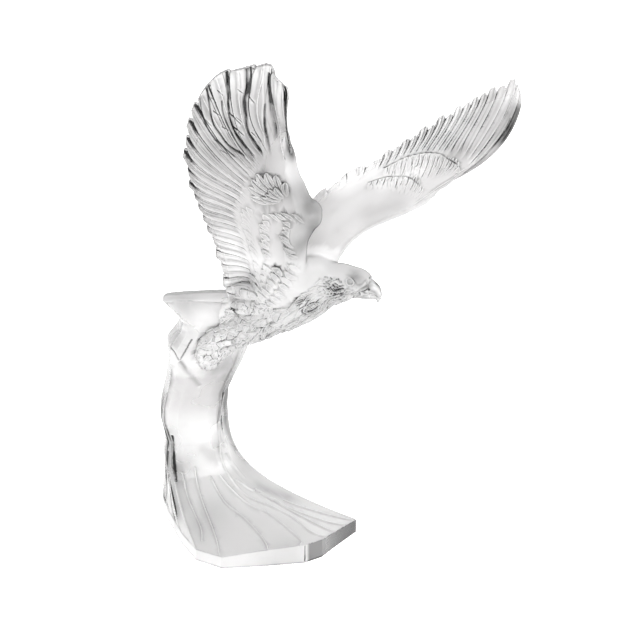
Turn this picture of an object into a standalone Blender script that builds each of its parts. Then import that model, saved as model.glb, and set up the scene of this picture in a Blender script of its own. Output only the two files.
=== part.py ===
"""Cast-crystal eagle with raised wings, one solid with the wave-shaped base that it rises from.

All sizes are millimetres in the part's own frame: the bird flies towards +X, its near wing is on the
-Y side, Z is up, and the origin is at the middle of the underside. mesh_object() turns them into metres.
The bird is modelled as many overlapping closed forms (body, legs, wing arms and cores, one blade for
each feather), which a voxel Remesh casts as one skin. The base is a crisp faceted loft, and a Boolean
union joins the two.
"""

import math

import bmesh
import bpy
import numpy as np

MM = 0.001
NAME = "crystal_eagle"

# Fineness of the solid: the flesh is cast and smoothed first, then the feathers are cast onto it.
FLESH_VOXEL, FLESH_SMOOTHING = 2.0, 10
SKIN_VOXEL = 1.5
BIRD_TRIANGLES = 7300
BLADE_ROWS, BLADE_SIDES = 8, 10
CORE_ROWS, CORE_SIDES = 18, 14
BODY_ROWS, BODY_SIDES = 26, 18

# Base: a plate with a straight rim, swept up into the column.
NECK_HEIGHT = 104.0
COLUMN_TOP, TOP_SLOPE = 184.0, -0.30
SWEEP_POWER = 4.6
FLUTE_DEPTH, FLUTE_TOP = 1.3, 46.0
FLUTE_STEPS = 3
SWEEP_ROWS, COLUMN_ROWS = 15, 15

# Plate corners, from the left end round the front and back: x, y and the rim's height there.
PLATE = (
    (-78, 56, 9), (-73, 27, 9), (-60, -19, 9), (-48, -49, 9), (-28, -64, 9.5), (2, -60, 13), (33, -54, 15),
    (46, -43, 14.5), (54, -28, 13), (72, 3, 10.5), (43, 31, 11), (8, 60, 11), (-34, 82, 10), (-70, 80, 9),
)
# The same corners on the column, as shares of its width (0 left to 1 right) and depth (0 front to 1 back).
COLUMN = (
    (0.00, 0.74), (0.02, 0.36), (0.06, 0.14), (0.14, 0.05), (0.30, 0.00), (0.52, 0.00), (0.72, 0.03),
    (0.84, 0.08), (0.92, 0.16), (1.00, 0.36), (0.99, 0.62), (0.80, 0.86), (0.42, 1.00), (0.08, 0.96),
)
# Height: left and right x, front and back y of the column.
COLUMN_BOX = {
    15: (-78, -25, 25, 80),
    38: (-76, -26, 25, 79),
    48: (-77, -26, 25, 79),
    62: (-75, -26, 25, 78),
    80: (-79, -26, 24, 77),
    92: (-77, -26, 23, 75),
    104: (-74, -25, 21, 73),
    116: (-72, -20, 19, 70),
    128: (-71, -14, 18, 67),
    142: (-72, -9, 15, 64),
    156: (-63, -7, 13, 61),
    164: (-61, -4, 11, 59),
    171: (-65, -3, 9, 57),
    181: (-73, -2, 8, 55),
}

# Body: middle line from rump to forehead, with its half width and half height at each point.
BODY_LINE = ((-24, 22, 169), (-8, 14, 177), (11, 5, 186), (27, -3, 195), (42, -10, 203), (55, -16.5, 207.5),
             (67, -22, 210.5), (75, -23.8, 211.5), (80, -24.6, 208.5))
BODY_HALF_WIDTH = (15, 20, 23, 24, 22, 17.5, 14, 11.5, 6)
BODY_HALF_HEIGHT = (15, 20, 23, 24, 24.5, 22.2, 16.3, 13.5, 6.5)

# Shoulders: a round form across the back, from one wing's arm to the other's.
SHOULDER_LINE = ((22, -14, 204), (32, -18, 213), (42, -12, 214), (52, -2, 211))
SHOULDER_RADIUS = (12, 14, 12.5, 10.5)
# Wrist: a knob on the near wing's front edge.
WRIST_LINE = ((35, -33, 254), (37.5, -34, 262), (38, -34.5, 269), (36.5, -35, 276))
WRIST_RADIUS = (4, 8.5, 9, 5)

# Near leg, hip to toes, with its radius; the far leg is the same, shifted across the body.
LEG_LINE = ((11, -2, 184), (-2, -2, 174), (-16, 3, 162), (-30, 8, 153), (-38, 12, 142), (-38, 17, 131))
LEG_RADIUS = (15, 17, 12, 10.5, 12, 7)
FAR_LEG_SHIFT = (4, 20, 7)

# Beak: middle line, half width and half height, for the hooked upper half and the lower half.
BEAK_LINE = ((76, -24, 206.5), (81.5, -25.1, 205.6), (85.3, -25.9, 203.2), (86.6, -26.2, 199.6),
             (86.2, -26.2, 195.6))
BEAK_HALF_WIDTH = (7, 5.2, 3.8, 2.4, 0.7)
BEAK_HALF_HEIGHT = (7, 5.2, 3.7, 2.3, 0.7)
JAW_LINE = ((70, -22.4, 203.6), (78, -24.4, 202.4), (82.5, -25.4, 201.0), (85.6, -26, 200.0))
JAW_RADIUS = (5.4, 3.4, 2.6, 1.5)

# Eyes: a small round form on each side of the head.
EYES = ((66.4, -29.9, 214.0), (71.9, -13.8, 214.0))
EYE_RADIUS = 2.6

# Tail: root and end of its middle feather, and how far the outer feathers stand to each side.
TAIL_ROOT, TAIL_END = (2, 12, 184), (-69, 43, 176)
TAIL_SPREAD = (9, 22, -6)
TAIL_FEATHERS = 7
TAIL_HALF_WIDTH, TAIL_HALF_HEIGHT = (4, 6, 5.5), (4.5, 3.4, 2.6)

# Flight feathers: number on each wing, how many of the outermost are cut square, and the blades' size.
NEAR_FEATHERS, NEAR_SQUARE = 20, 5
FAR_FEATHERS, FAR_SQUARE = 22, 1
FLIGHT_HIDDEN, FLIGHT_THICKNESS, FLIGHT_TILT = 0.18, 5.2, 1.3
SQUARE_TIP, ROUND_TIP = 0.5, 0.9
# The coarse cast rounds the blades' ends off, so they are made this much longer.
LONGER = 0.012
# Covert rows on each side of a wing: feathers in the row, how far they reach as a share of the way to
# where the flight feathers come out, and how high they lie.
COVERT_ROWS = ((14, 1.05, 2.4), (12, 0.68, 4.2))
COVERT_HIDDEN, COVERT_THICKNESS, COVERT_TILT = 0.40, 3.4, 0.9


class Curve:
    """Smooth curve through a few points, read at a share of its length or, if even, of the number of its
    spans. It runs on straight past its ends."""

    def __init__(self, points, even=False):
        self.points = np.array(points, float)
        steps = np.linalg.norm(np.diff(self.points, axis=0), axis=1)
        if even:
            steps = np.ones(len(steps))
        self.knots = np.concatenate([[0], np.cumsum(steps)]) / steps.sum()
        self.slopes = np.gradient(self.points, self.knots, axis=0)

    def __call__(self, share):
        share = np.asarray(share, float)
        inside = np.clip(share, 0, 1)
        k = np.clip(np.searchsorted(self.knots, inside, side="right") - 1, 0, len(self.knots) - 2)
        span = (self.knots[k + 1] - self.knots[k])[..., None]
        s = (inside - self.knots[k])[..., None] / span
        start, end = self.points[k], self.points[k + 1]
        start_slope, end_slope = self.slopes[k] * span, self.slopes[k + 1] * span
        on_curve = (
            (2 * s**3 - 3 * s**2 + 1) * start
            + (s**3 - 2 * s**2 + s) * start_slope
            + (3 * s**2 - 2 * s**3) * end
            + (s**3 - s**2) * end_slope
        )
        past = (share - inside)[..., None]
        return on_curve + past * np.where(past < 0, self.slopes[0], self.slopes[-1])


class Table:
    """A size that changes smoothly along a form: values at evenly spaced shares from 0 to 1."""

    def __init__(self, values):
        self.values = np.array(values, float)

    def __call__(self, share):
        return np.interp(share, np.linspace(0, 1, len(self.values)), self.values)


def ease(share):
    """0 to 1 with soft ends."""
    share = np.clip(share, 0, 1)
    return share * share * (3 - 2 * share)


class Wing:
    """The middle surface of a wing. A quill runs at each t, 0 by the body to 1 for the outermost
    feather, from the leading edge at v = 0 to the feather tips at v = 1. bends holds how far the
    quills bow in the wing's plane, evenly spaced in t, and hollow how far they bulge out of it. The
    arm is the round front edge, and the core the flesh behind it. feathers is how many flight feathers
    there are, edges where they meet at their tips, and lean how far each edge has drifted in t at its
    root. lap is how much wider each feather is than its share, inwards and outwards, and lines_start the
    v at which the flight feathers come out from under the coverts. saw is how far every second feather
    stands out, as a share of its length."""

    def __init__(self, roots, tips, bends, hollow, core_thickness, arm_radius, feathers, edges, lean, lap,
                 lines_start, saw):
        self.roots, self.tips = Curve(roots), Curve(tips)
        self.bends, self.hollow = Curve(bends, even=True), np.array(hollow, float)
        self.core_thickness, self.arm_radius = Table(core_thickness), Table(arm_radius)
        self.edges, self.lean = Table(edges)(np.linspace(0, 1, feathers + 1)), Table(lean)
        self.lap, self.lines_start, self.saw = lap, Table(lines_start), saw

    def at(self, t, v):
        t, v = np.broadcast_arrays(np.asarray(t, float), np.asarray(v, float))
        root, tip = self.roots(t), self.tips(t)
        v = v[..., None]
        middle = (root + tip) / 2 + self.bends(np.clip(t, 0, 1))
        line = (1 - v) ** 2 * root + 2 * v * (1 - v) * middle + v**2 * tip
        return line + self.hollow * np.sin(math.pi * np.clip(v, 0, 1))

    def normal(self, t, v):
        """Unit normal, on the side that the wing's middle bulges to: the bird's back."""
        step = 0.01
        across = self.at(t + step, v) - self.at(t - step, v)
        along = self.at(t, v + step) - self.at(t, v - step)
        normal = np.cross(across, along)
        normal /= np.linalg.norm(normal, axis=-1, keepdims=True)
        return normal * np.where((normal @ self.hollow) < 0, -1.0, 1.0)[..., None]

    def drift(self, tip_t, v):
        """The t at which the feather edge or quill that ends at tip_t passes v."""
        return tip_t + self.lean(tip_t) * ease((1 - v) / 0.55)


# The near wing stands upright and leans to -Y; the far one reaches out past the head.
NEAR_WING = Wing(
    roots=((1, -14, 181), (20, -23, 203), (32, -27, 223), (34, -29, 244), (42, -33, 263), (34.5, -36, 281),
           (29, -40, 293), (25, -46, 312)),
    tips=((-22, -4, 183), (-33, -12, 236), (-42, -19, 263), (-50, -27, 291), (-52, -35, 315), (-48, -43, 341),
          (-38, -50, 363), (-24, -56, 377), (-8, -60, 381), (9, -62, 385), (14, -60, 374), (21, -56, 366)),
    bends=((0, 0, 0), (-3, 2, -4), (-12, 4, -14), (-19, 6, -30), (-16, 4, -6), (-9, 0, 0)),
    hollow=(2, 7, 1),
    core_thickness=(18, 17, 16, 15, 12, 9),
    arm_radius=(3, 6, 9, 8.5, 10, 10, 7, 4.5, 3),
    feathers=NEAR_FEATHERS,
    edges=(0.01, 0.228, 0.413, 0.666, 0.995),
    lean=(0.05, 0.045, 0.045, 0.085, 0.10, 0.08, 0.02, -0.02, -0.08, -0.07, 0.0),
    lap=(0.0, 0.35),
    lines_start=(0.40, 0.42, 0.46, 0.48, 0.46, 0.42, 0.36, 0.30, 0.25),
    saw=0.012,
)
FAR_WING = Wing(
    roots=((53, 0, 213), (61, 7, 226), (75, 15, 237), (92, 22, 243), (107, 28, 247), (121, 34, 253),
           (129, 38, 261), (138, 41, 266)),
    tips=((24, 13, 240), (52, 24, 270), (72, 32, 279), (100, 42, 293), (123, 50, 306), (147, 58, 319),
          (165, 64, 328), (180, 68, 334), (190, 70, 336), (194, 68, 325)),
    bends=((0, 0, 0), (3, -1, -3), (6, -2, -6), (9, 0, -10), (18, 2, -16)),
    hollow=(1, -6, 3),
    core_thickness=(18, 16, 13, 11, 9, 7),
    arm_radius=(10, 9, 8, 7, 6, 5, 4, 3),
    feathers=FAR_FEATHERS,
    edges=(0.0, 0.22, 0.41, 0.50, 0.592, 0.68, 0.77, 0.85, 0.94, 1.01),
    lean=(0.0, -0.05, -0.10, -0.13, -0.15, -0.15, -0.15, -0.14, -0.11, -0.03, 0.0),
    lap=(0.35, 0.0),
    lines_start=(0.95, 0.93, 0.90, 0.87, 0.82, 0.79, 0.71, 0.60, 0.48, 0.33, 0.24),
    saw=0.030,
)


class Clay:
    """Gathers closed forms that overlap, to be cast as one solid."""

    def __init__(self):
        self.points, self.faces, self.count = [], [], 0

    def add(self, rings):
        """A closed body skinned over rings of points, with flat ends."""
        rings = np.asarray(rings, float)
        rows, sides = rings.shape[:2]
        k, j = np.meshgrid(np.arange(rows - 1), np.arange(sides), indexing="ij")
        here, beside = k * sides + j, k * sides + (j + 1) % sides
        quads = np.stack([here, beside, beside + sides, here + sides], -1).reshape(-1, 4)
        self.points.append(rings.reshape(-1, 3))
        self.faces += (quads + self.count).tolist()
        self.faces.append([self.count + i for i in reversed(range(sides))])
        self.faces.append([self.count + (rows - 1) * sides + i for i in range(sides)])
        self.count += rows * sides


def ring_angles(sides):
    return np.linspace(0, 2 * math.pi, sides, endpoint=False)


def add_limb(clay, line, half_width, half_height, rows, sides):
    """A round form along a curve: half_width is level, half_height stands square to it."""
    share = np.linspace(0, 1, rows + 1)
    middle = Curve(line)
    points = middle(share)
    forward = middle(share + 0.01) - middle(share - 0.01)
    forward /= np.linalg.norm(forward, axis=1, keepdims=True)
    side = np.cross([0, 0, 1], forward)
    side /= np.linalg.norm(side, axis=1, keepdims=True)
    up = np.cross(forward, side)
    wide, high = Table(half_width)(share), Table(half_height)(share)
    angle = ring_angles(sides)[None, :, None]
    clay.add(
        points[:, None]
        + side[:, None] * wide[:, None, None] * np.cos(angle)
        + up[:, None] * high[:, None, None] * np.sin(angle)
    )


def add_wing_core(clay, wing):
    """The flesh of the wing: an aerofoil, thick at its leading edge, that runs out under the coverts."""
    t = np.linspace(-0.10, 0.98, CORE_ROWS + 1)[:, None]
    angle = ring_angles(CORE_SIDES)[None, :]
    chord = (1 - np.cos(angle)) / 2
    nose = np.sqrt(chord) * (1 - chord) * 2.6
    v = chord * np.clip(wing.lines_start(np.clip(t, 0, 1)) + 0.14, 0.5, 0.97)
    half = wing.core_thickness(t) / 2 * nose * np.sign(np.sin(angle))
    clay.add(wing.at(t, v) + wing.normal(t, v) * half[..., None])


def add_wing_arm(clay, wing):
    """The rounded front edge, from inside the body to the wrist."""
    t = np.linspace(-0.10, 0.97, CORE_ROWS + 1)[:, None]
    angle = ring_angles(CORE_SIDES)[None, :]
    radius = wing.arm_radius(np.clip(t, 0, 1))
    chord = np.linalg.norm(wing.tips(t[:, 0]) - wing.roots(t[:, 0]), axis=1)[:, None]
    v = radius / chord * (0.8 + np.cos(angle))
    clay.add(wing.at(t, v) + wing.normal(t, v) * (radius * np.sin(angle))[..., None])


def blade_width(share, tip_round):
    """Half width of a feather along its quill: full to near the end, then rounded off or cut square."""
    end = np.clip((share - 0.84) / 0.16, 0, 1)
    return (0.62 + 0.38 * np.sin(np.clip(share * 1.6, 0, 1) * math.pi / 2)) * np.sqrt(1 - tip_round * end**2)


def add_feather(clay, wing, t_middle, t_half, v_start, v_end, layer, thickness, tilt, tip_round=ROUND_TIP):
    """A blade that lies on the wing's surface. layer lifts it towards the back (+) or the underside (-),
    and tilt raises its outer edge over the next feather, as tiles do."""
    share = np.sin(np.linspace(0, 1, BLADE_ROWS + 1) * math.pi / 2)
    v = (v_start + (v_end - v_start) * share)[:, None]
    angle = ring_angles(BLADE_SIDES)[None, :]
    across = np.cos(angle)
    t = wing.drift(t_middle + t_half * blade_width(share, tip_round)[:, None] * across, v)
    swell = np.sign(np.sin(angle)) * np.abs(np.sin(angle)) ** 0.7
    thin = (1 - 0.45 * share)[:, None]
    height = layer * (1 - 0.8 * share[:, None]) + tilt * across + thickness / 2 * thin * swell
    clay.add(wing.at(t, v) + wing.normal(t, v) * height[..., None])


def add_flight_feathers(clay, wing, square_tips):
    """The long feathers, in one fan. The outermost, square_tips of them, are cut straight."""
    count = len(wing.edges) - 1
    for i in range(count):
        width = wing.edges[i + 1] - wing.edges[i]
        inner, outer = wing.edges[i] - wing.lap[0] * width, wing.edges[i + 1] + wing.lap[1] * width
        middle, half = (inner + outer) / 2, (outer - inner) / 2
        start = float(wing.lines_start(np.clip(middle, 0, 1))) - FLIGHT_HIDDEN
        saw = (wing.saw if i % 2 else -wing.saw) * (1 - i / count)
        end = 1 + saw + 0.008 * math.sin(2.4 * i) + LONGER
        tip = SQUARE_TIP if i >= count - square_tips else ROUND_TIP
        add_feather(clay, wing, middle, half, start, end, 0, FLIGHT_THICKNESS, FLIGHT_TILT, tip)


def add_coverts(clay, wing, count, reach, layer):
    """A row of short feathers over the roots of the long ones."""
    width = 0.94 / count
    for i in range(count):
        middle = (i + 0.5) * width
        end = float(wing.lines_start(middle)) * reach * (1 + 0.04 * math.sin(1.7 * i + reach * 9))
        start = end * COVERT_HIDDEN
        add_feather(clay, wing, middle, width * 0.66, start, end, layer, COVERT_THICKNESS, COVERT_TILT)


def add_feathers(clay, wing, square_tips):
    """The flight feathers, and rows of coverts over their roots on the back and on the underside."""
    add_flight_feathers(clay, wing, square_tips)
    for count, reach, layer in COVERT_ROWS:
        add_coverts(clay, wing, count, reach, layer)
        add_coverts(clay, wing, count, reach, -layer)


def add_tail(clay):
    """A fan of flat feathers behind the body, whose ends hang over the column's back."""
    root, end, spread = np.array(TAIL_ROOT), np.array(TAIL_END), np.array(TAIL_SPREAD)
    for place in np.linspace(-1, 1, TAIL_FEATHERS):
        tip = end + spread * place + (root - end) * 0.10 * place**2
        start = root + spread * place * 0.35
        middle = (start + tip) / 2 + np.array([0, 0, 2.0])
        add_limb(clay, (start, middle, tip), TAIL_HALF_WIDTH, TAIL_HALF_HEIGHT, rows=5, sides=8)


def add_body(clay):
    add_limb(clay, BODY_LINE, BODY_HALF_WIDTH, BODY_HALF_HEIGHT, BODY_ROWS, BODY_SIDES)
    add_limb(clay, SHOULDER_LINE, SHOULDER_RADIUS, SHOULDER_RADIUS, 8, 14)
    add_limb(clay, WRIST_LINE, WRIST_RADIUS, WRIST_RADIUS, 8, 12)
    for shift in ((0, 0, 0), FAR_LEG_SHIFT):
        line = np.array(LEG_LINE) + np.array(shift)
        add_limb(clay, line, LEG_RADIUS, LEG_RADIUS, 10, 12)


def add_beak(clay):
    add_limb(clay, BEAK_LINE, BEAK_HALF_WIDTH, BEAK_HALF_HEIGHT, 8, 10)
    add_limb(clay, JAW_LINE, JAW_RADIUS, JAW_RADIUS, 4, 8)


def add_eyes(clay):
    angle = ring_angles(8)[None, :]
    slope = np.linspace(-1.3, 1.3, 5)[:, None]
    around = np.stack([np.cos(angle), np.sin(angle), 0 * angle], -1)
    ball = np.cos(slope)[..., None] * around
    ball = ball + np.sin(slope)[..., None] * np.array([0, 0, 1.0])
    for eye in EYES:
        clay.add(np.array(eye) + EYE_RADIUS * ball)


def mesh_object(name, clay):
    """A mesh object in metres, with its faces turned outwards."""
    mesh = bpy.data.meshes.new(name)
    mesh.from_pydata((np.concatenate(clay.points) * MM).tolist(), [], clay.faces)
    shell = bmesh.new()
    shell.from_mesh(mesh)
    bmesh.ops.recalc_face_normals(shell, faces=shell.faces)
    shell.to_mesh(mesh)
    shell.free()
    made = bpy.data.objects.new(name, mesh)
    bpy.context.scene.collection.objects.link(made)
    return made


def applied(made):
    """The object with its modifiers made real, so that another modifier stack can start from it."""
    graph = bpy.context.evaluated_depsgraph_get()
    mesh = bpy.data.meshes.new_from_object(made.evaluated_get(graph))
    made.modifiers.clear()
    made.data = mesh
    return made


def join_meshes(made, other):
    """Adds the other object's mesh to the first one's, and removes the other."""
    both = bmesh.new()
    both.from_mesh(made.data)
    both.from_mesh(other.data)
    both.to_mesh(made.data)
    both.free()
    bpy.data.objects.remove(other)


def keep_outer_skin(made):
    """Removes the small closed pockets that overlapping forms leave inside the cast."""
    shell = bmesh.new()
    shell.from_mesh(made.data)
    unseen, islands = set(shell.faces), []
    while unseen:
        island, front = [], [unseen.pop()]
        while front:
            face = front.pop()
            island.append(face)
            beside = {other for edge in face.edges for other in edge.link_faces} & unseen
            unseen -= beside
            front += beside
        islands.append(island)
    islands.sort(key=len)
    inner = [face for island in islands[:-1] for face in island]
    bmesh.ops.delete(shell, geom=inner, context="FACES")
    shell.to_mesh(made.data)
    shell.free()


def cast(made, voxel):
    """The object's overlapping forms as one skin."""
    skin = made.modifiers.new("skin", "REMESH")
    skin.mode = "VOXEL"
    skin.voxel_size = voxel * MM
    keep_outer_skin(applied(made))


def build_flesh():
    """Body, legs and the flesh of the wings, smoothed into each other."""
    clay = Clay()
    add_body(clay)
    for wing in (NEAR_WING, FAR_WING):
        add_wing_core(clay, wing)
        add_wing_arm(clay, wing)
    flesh = mesh_object("flesh", clay)
    cast(flesh, FLESH_VOXEL)
    smooth = flesh.modifiers.new("blend", "SMOOTH")
    smooth.factor = 0.5
    smooth.iterations = FLESH_SMOOTHING
    return applied(flesh)


def build_bird():
    """The bird as one skin, thinned to a light mesh."""
    clay = Clay()
    add_beak(clay)
    add_eyes(clay)
    add_tail(clay)
    add_feathers(clay, NEAR_WING, NEAR_SQUARE)
    add_feathers(clay, FAR_WING, FAR_SQUARE)
    flesh = build_flesh()
    bird = mesh_object("bird", clay)
    join_meshes(bird, flesh)
    cast(bird, SKIN_VOXEL)
    thin = bird.modifiers.new("thin", "DECIMATE")
    thin.ratio = BIRD_TRIANGLES / (2 * len(bird.data.polygons))
    return applied(bird)


def plate_corners():
    """The plate's corners with flute points between them: plan and rim height, place on the column, and how
    deep in its flute each one lies."""
    plate, column, depth = [], [], []
    for i, corner in enumerate(PLATE):
        following = (i + 1) % len(PLATE)
        for step in range(FLUTE_STEPS):
            share = step / FLUTE_STEPS
            plate.append(np.array(corner) * (1 - share) + np.array(PLATE[following]) * share)
            column.append(np.array(COLUMN[i]) * (1 - share) + np.array(COLUMN[following]) * share)
            depth.append(math.sin(math.pi * share))
    return np.array(plate), np.array(column), np.array(depth)


def column_section(height, shares):
    """The column's outline at a height, from its box there."""
    heights = sorted(COLUMN_BOX)
    box = [np.interp(height, heights, [COLUMN_BOX[h][i] for h in heights]) for i in range(4)]
    left, right, front, back = box
    return np.stack([left + (right - left) * shares[:, 0], front + (back - front) * shares[:, 1]], 1)


def build_base():
    """Plate and column: each corner of the plate's outline runs in and up a concave sweep to its
    place on the column, and the strips between the corners are shallow flutes."""
    corners, shares, depth = plate_corners()
    plate, rim = corners[:, :2], corners[:, 2]
    rings = [np.column_stack([plate, np.zeros(len(plate))]), np.column_stack([plate, rim])]
    for row in range(1, SWEEP_ROWS + 1):
        rise = (row / SWEEP_ROWS) ** 2.2
        height = rim + (NECK_HEIGHT - rim) * rise
        outward = (1 - rise) ** SWEEP_POWER
        column = np.array([column_section(h, s[None])[0] for h, s in zip(height, shares)])
        place = column + (plate - column) * outward
        inward = column.mean(axis=0) - place
        inward /= np.linalg.norm(inward, axis=1, keepdims=True)
        flute = FLUTE_DEPTH * depth * np.clip(1.5 * (1 - height / FLUTE_TOP), 0, 1)
        rings.append(np.column_stack([place + inward * flute[:, None], height]))
    for height in np.linspace(NECK_HEIGHT, COLUMN_TOP, COLUMN_ROWS + 1)[1:]:
        section = column_section(height, shares)
        slope = TOP_SLOPE * ((height - NECK_HEIGHT) / (COLUMN_TOP - NECK_HEIGHT)) ** 4
        rings.append(np.column_stack([section, height + slope * (section[:, 1] - section[:, 1].min())]))
    clay = Clay()
    clay.add(rings)
    return mesh_object("base", clay)


def crystal():
    """Satin crystal: white, see-through, softly rough."""
    material = bpy.data.materials.new("satin_crystal")
    material.use_nodes = True
    shader = material.node_tree.nodes["Principled BSDF"]
    shader.inputs["Base Color"].default_value = (0.93, 0.93, 0.93, 1)
    shader.inputs["Roughness"].default_value = 0.35
    shader.inputs["Metallic"].default_value = 0.0
    shader.inputs["Transmission Weight"].default_value = 0.85
    shader.inputs["IOR"].default_value = 1.54
    return material


def main():
    for old in list(bpy.data.objects):
        bpy.data.objects.remove(old)
    bird = build_bird()
    bird.hide_render = True
    bird.display_type = "WIRE"
    eagle = build_base()
    eagle.name = NAME
    join = eagle.modifiers.new("join_bird", "BOOLEAN")
    join.operation = "UNION"
    join.object = bird
    eagle.data.materials.append(crystal())


main()
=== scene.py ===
"""Cast-crystal eagle with raised wings on its wave-shaped base, on a pale studio floor.

The whole cast piece is one fine mesh that stands for the CAD solid. It is modelled in millimetres in the
row frame: the bird flies towards +X, its near wing is on the -Y side, and Z is up. Overlapping closed
forms are cast into one skin by a voxel Remesh, finer relief is carved into that skin point by point, and
the result is thinned to a mesh that keeps the relief.
"""

import itertools
import math

import bmesh
import bpy
import numpy as np
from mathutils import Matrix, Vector
from mathutils.bvhtree import BVHTree
from mathutils.kdtree import KDTree


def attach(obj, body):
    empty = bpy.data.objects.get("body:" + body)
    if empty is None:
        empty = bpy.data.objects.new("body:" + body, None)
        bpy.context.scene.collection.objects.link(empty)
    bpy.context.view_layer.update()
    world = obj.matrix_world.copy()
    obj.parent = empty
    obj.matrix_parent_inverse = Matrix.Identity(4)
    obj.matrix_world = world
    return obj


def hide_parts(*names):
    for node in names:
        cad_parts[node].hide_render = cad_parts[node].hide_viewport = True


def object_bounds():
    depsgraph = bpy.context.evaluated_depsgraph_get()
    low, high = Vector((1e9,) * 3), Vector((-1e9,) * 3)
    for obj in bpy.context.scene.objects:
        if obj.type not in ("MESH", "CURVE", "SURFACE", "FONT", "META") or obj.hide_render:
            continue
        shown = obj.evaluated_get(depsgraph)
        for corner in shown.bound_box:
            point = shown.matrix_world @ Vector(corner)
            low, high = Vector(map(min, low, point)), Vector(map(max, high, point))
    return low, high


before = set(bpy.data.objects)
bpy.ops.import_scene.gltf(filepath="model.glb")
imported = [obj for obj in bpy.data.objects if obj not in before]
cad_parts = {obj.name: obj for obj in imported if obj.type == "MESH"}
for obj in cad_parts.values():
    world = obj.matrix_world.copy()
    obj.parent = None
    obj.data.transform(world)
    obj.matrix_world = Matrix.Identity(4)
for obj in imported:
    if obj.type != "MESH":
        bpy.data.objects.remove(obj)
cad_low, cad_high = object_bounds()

MM = 0.001
NAME = "crystal_eagle_cast"

# Fineness of the cast.
FLESH_VOXEL, FLESH_SMOOTHING = 1.3, 24
SKIN_VOXEL = 0.42
TRIANGLES = 196000
# Thinning: how freely points are dropped on the near side (they are dropped fully freely on the far one),
# how far the skin turns between the two, how far round the head's middle and over how many millimetres
# more none are dropped freely, and how much a point's freedom counts against its shape.
NEAR_FREEDOM, FREEDOM_TURN = 0.15, 0.25
HEAD_KEPT, HEAD_FADE = 24, 10
FREEDOM_FACTOR = 3e-6
BLADE_ROWS, BLADE_SIDES = 26, 20
CORE_ROWS, CORE_SIDES = 30, 24
BODY_ROWS, BODY_SIDES = 40, 32

# Base: a plate with a straight rim, swept up into the column.
NECK_HEIGHT = 104.0
COLUMN_TOP, TOP_SLOPE = 184.0, -0.30
SWEEP_POWER = 4.6
FLUTE_DEPTH, FLUTE_TOP = 1.3, 46.0
FLUTE_STEPS = 6
SWEEP_ROWS, COLUMN_ROWS = 30, 24

# Plate corners, from the left end round the front and back: x, y and the rim's height there.
PLATE = (
    (-78, 56, 9), (-73, 27, 9), (-60, -19, 9), (-48, -49, 9), (-28, -64, 9.5), (2, -60, 13), (33, -54, 15),
    (46, -43, 14.5), (54, -28, 13), (72, 3, 10.5), (43, 31, 11), (8, 60, 11), (-34, 82, 10), (-70, 80, 9),
)
# The same corners on the column, as shares of its width (0 left to 1 right) and depth (0 front to 1 back).
COLUMN = (
    (0.00, 0.74), (0.02, 0.36), (0.06, 0.14), (0.14, 0.05), (0.30, 0.00), (0.52, 0.00), (0.72, 0.03),
    (0.84, 0.08), (0.92, 0.16), (1.00, 0.36), (0.99, 0.62), (0.80, 0.86), (0.42, 1.00), (0.08, 0.96),
)
# Height: left and right x, front and back y of the column.
COLUMN_BOX = {
    15: (-78, -25, 25, 80),
    38: (-76, -26, 25, 79),
    48: (-77, -26, 25, 79),
    62: (-75, -26, 25, 78),
    80: (-79, -26, 24, 77),
    92: (-77, -26, 23, 75),
    104: (-74, -25, 21, 73),
    116: (-72, -20, 19, 70),
    128: (-71, -14, 18, 67),
    142: (-72, -9, 15, 64),
    156: (-63, -7, 13, 61),
    164: (-61, -4, 11, 59),
    171: (-65, -3, 9, 57),
    181: (-73, -2, 8, 55),
}
# Raised lines on the sweep. Each point is a corner's number, counted along the outline, and how far up
# the sweep it lies: 0 at the rim and 1 at the column's neck.
RIDGES = (
    ((2.1, 1.0), (2.6, 0.8), (2.9, 0.6), (3.0, 0.3), (3.0, 0.0)),
    ((3.7, 0.64), (3.6, 0.5), (3.7, 0.38), (3.4, 0.2)),
    ((4.6, 0.66), (4.3, 0.5), (4.2, 0.37), (3.85, 0.0)),
    ((5.2, 0.60), (5.1, 0.47), (5.3, 0.36), (5.1, 0.0)),
    ((5.7, 0.60), (5.8, 0.47), (6.3, 0.34), (5.85, 0.0)),
    ((8.1, 1.0), (7.7, 0.93), (7.1, 0.79), (6.5, 0.67), (6.1, 0.52), (7.0, 0.38), (7.3, 0.3), (7.0, 0.2),
     (7.4, 0.0)),
    ((6.6, 0.56), (6.9, 0.5), (7.7, 0.42), (8.1, 0.0)),
    ((7.4, 0.47), (8.1, 0.3), (8.6, 0.0)),
    ((8.2, 0.40), (8.7, 0.2), (8.95, 0.0)),
)
RIDGE_HEIGHT, RIDGE_WIDTH = 1.5, 0.5

# Body: middle line from rump to forehead, with its half width and half height at each point.
BODY_LINE = ((-24, 22, 169), (-8, 14, 177), (11, 5, 186), (27, -3, 195), (42, -10, 203), (55, -16.5, 207.5),
             (67, -22, 210.5), (75, -23.8, 211.5), (80, -24.6, 208.5))
BODY_HALF_WIDTH = (15, 20, 23, 24, 22, 17.5, 14, 11.5, 6)
BODY_HALF_HEIGHT = (15, 20, 23, 24, 24.5, 22.2, 16.3, 13.5, 6.5)

# Shoulders: a round form across the back, from one wing's arm to the other's.
SHOULDER_LINE = ((22, -14, 204), (32, -18, 213), (42, -12, 214), (52, -2, 211))
SHOULDER_RADIUS = (12, 14, 12.5, 10.5)
# Wrist: a knob on the near wing's front edge.
WRIST_LINE = ((35, -33, 254), (37.5, -34, 262), (38, -34.5, 269), (36.5, -35, 276))
WRIST_RADIUS = (4, 8.5, 9, 5)

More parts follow.
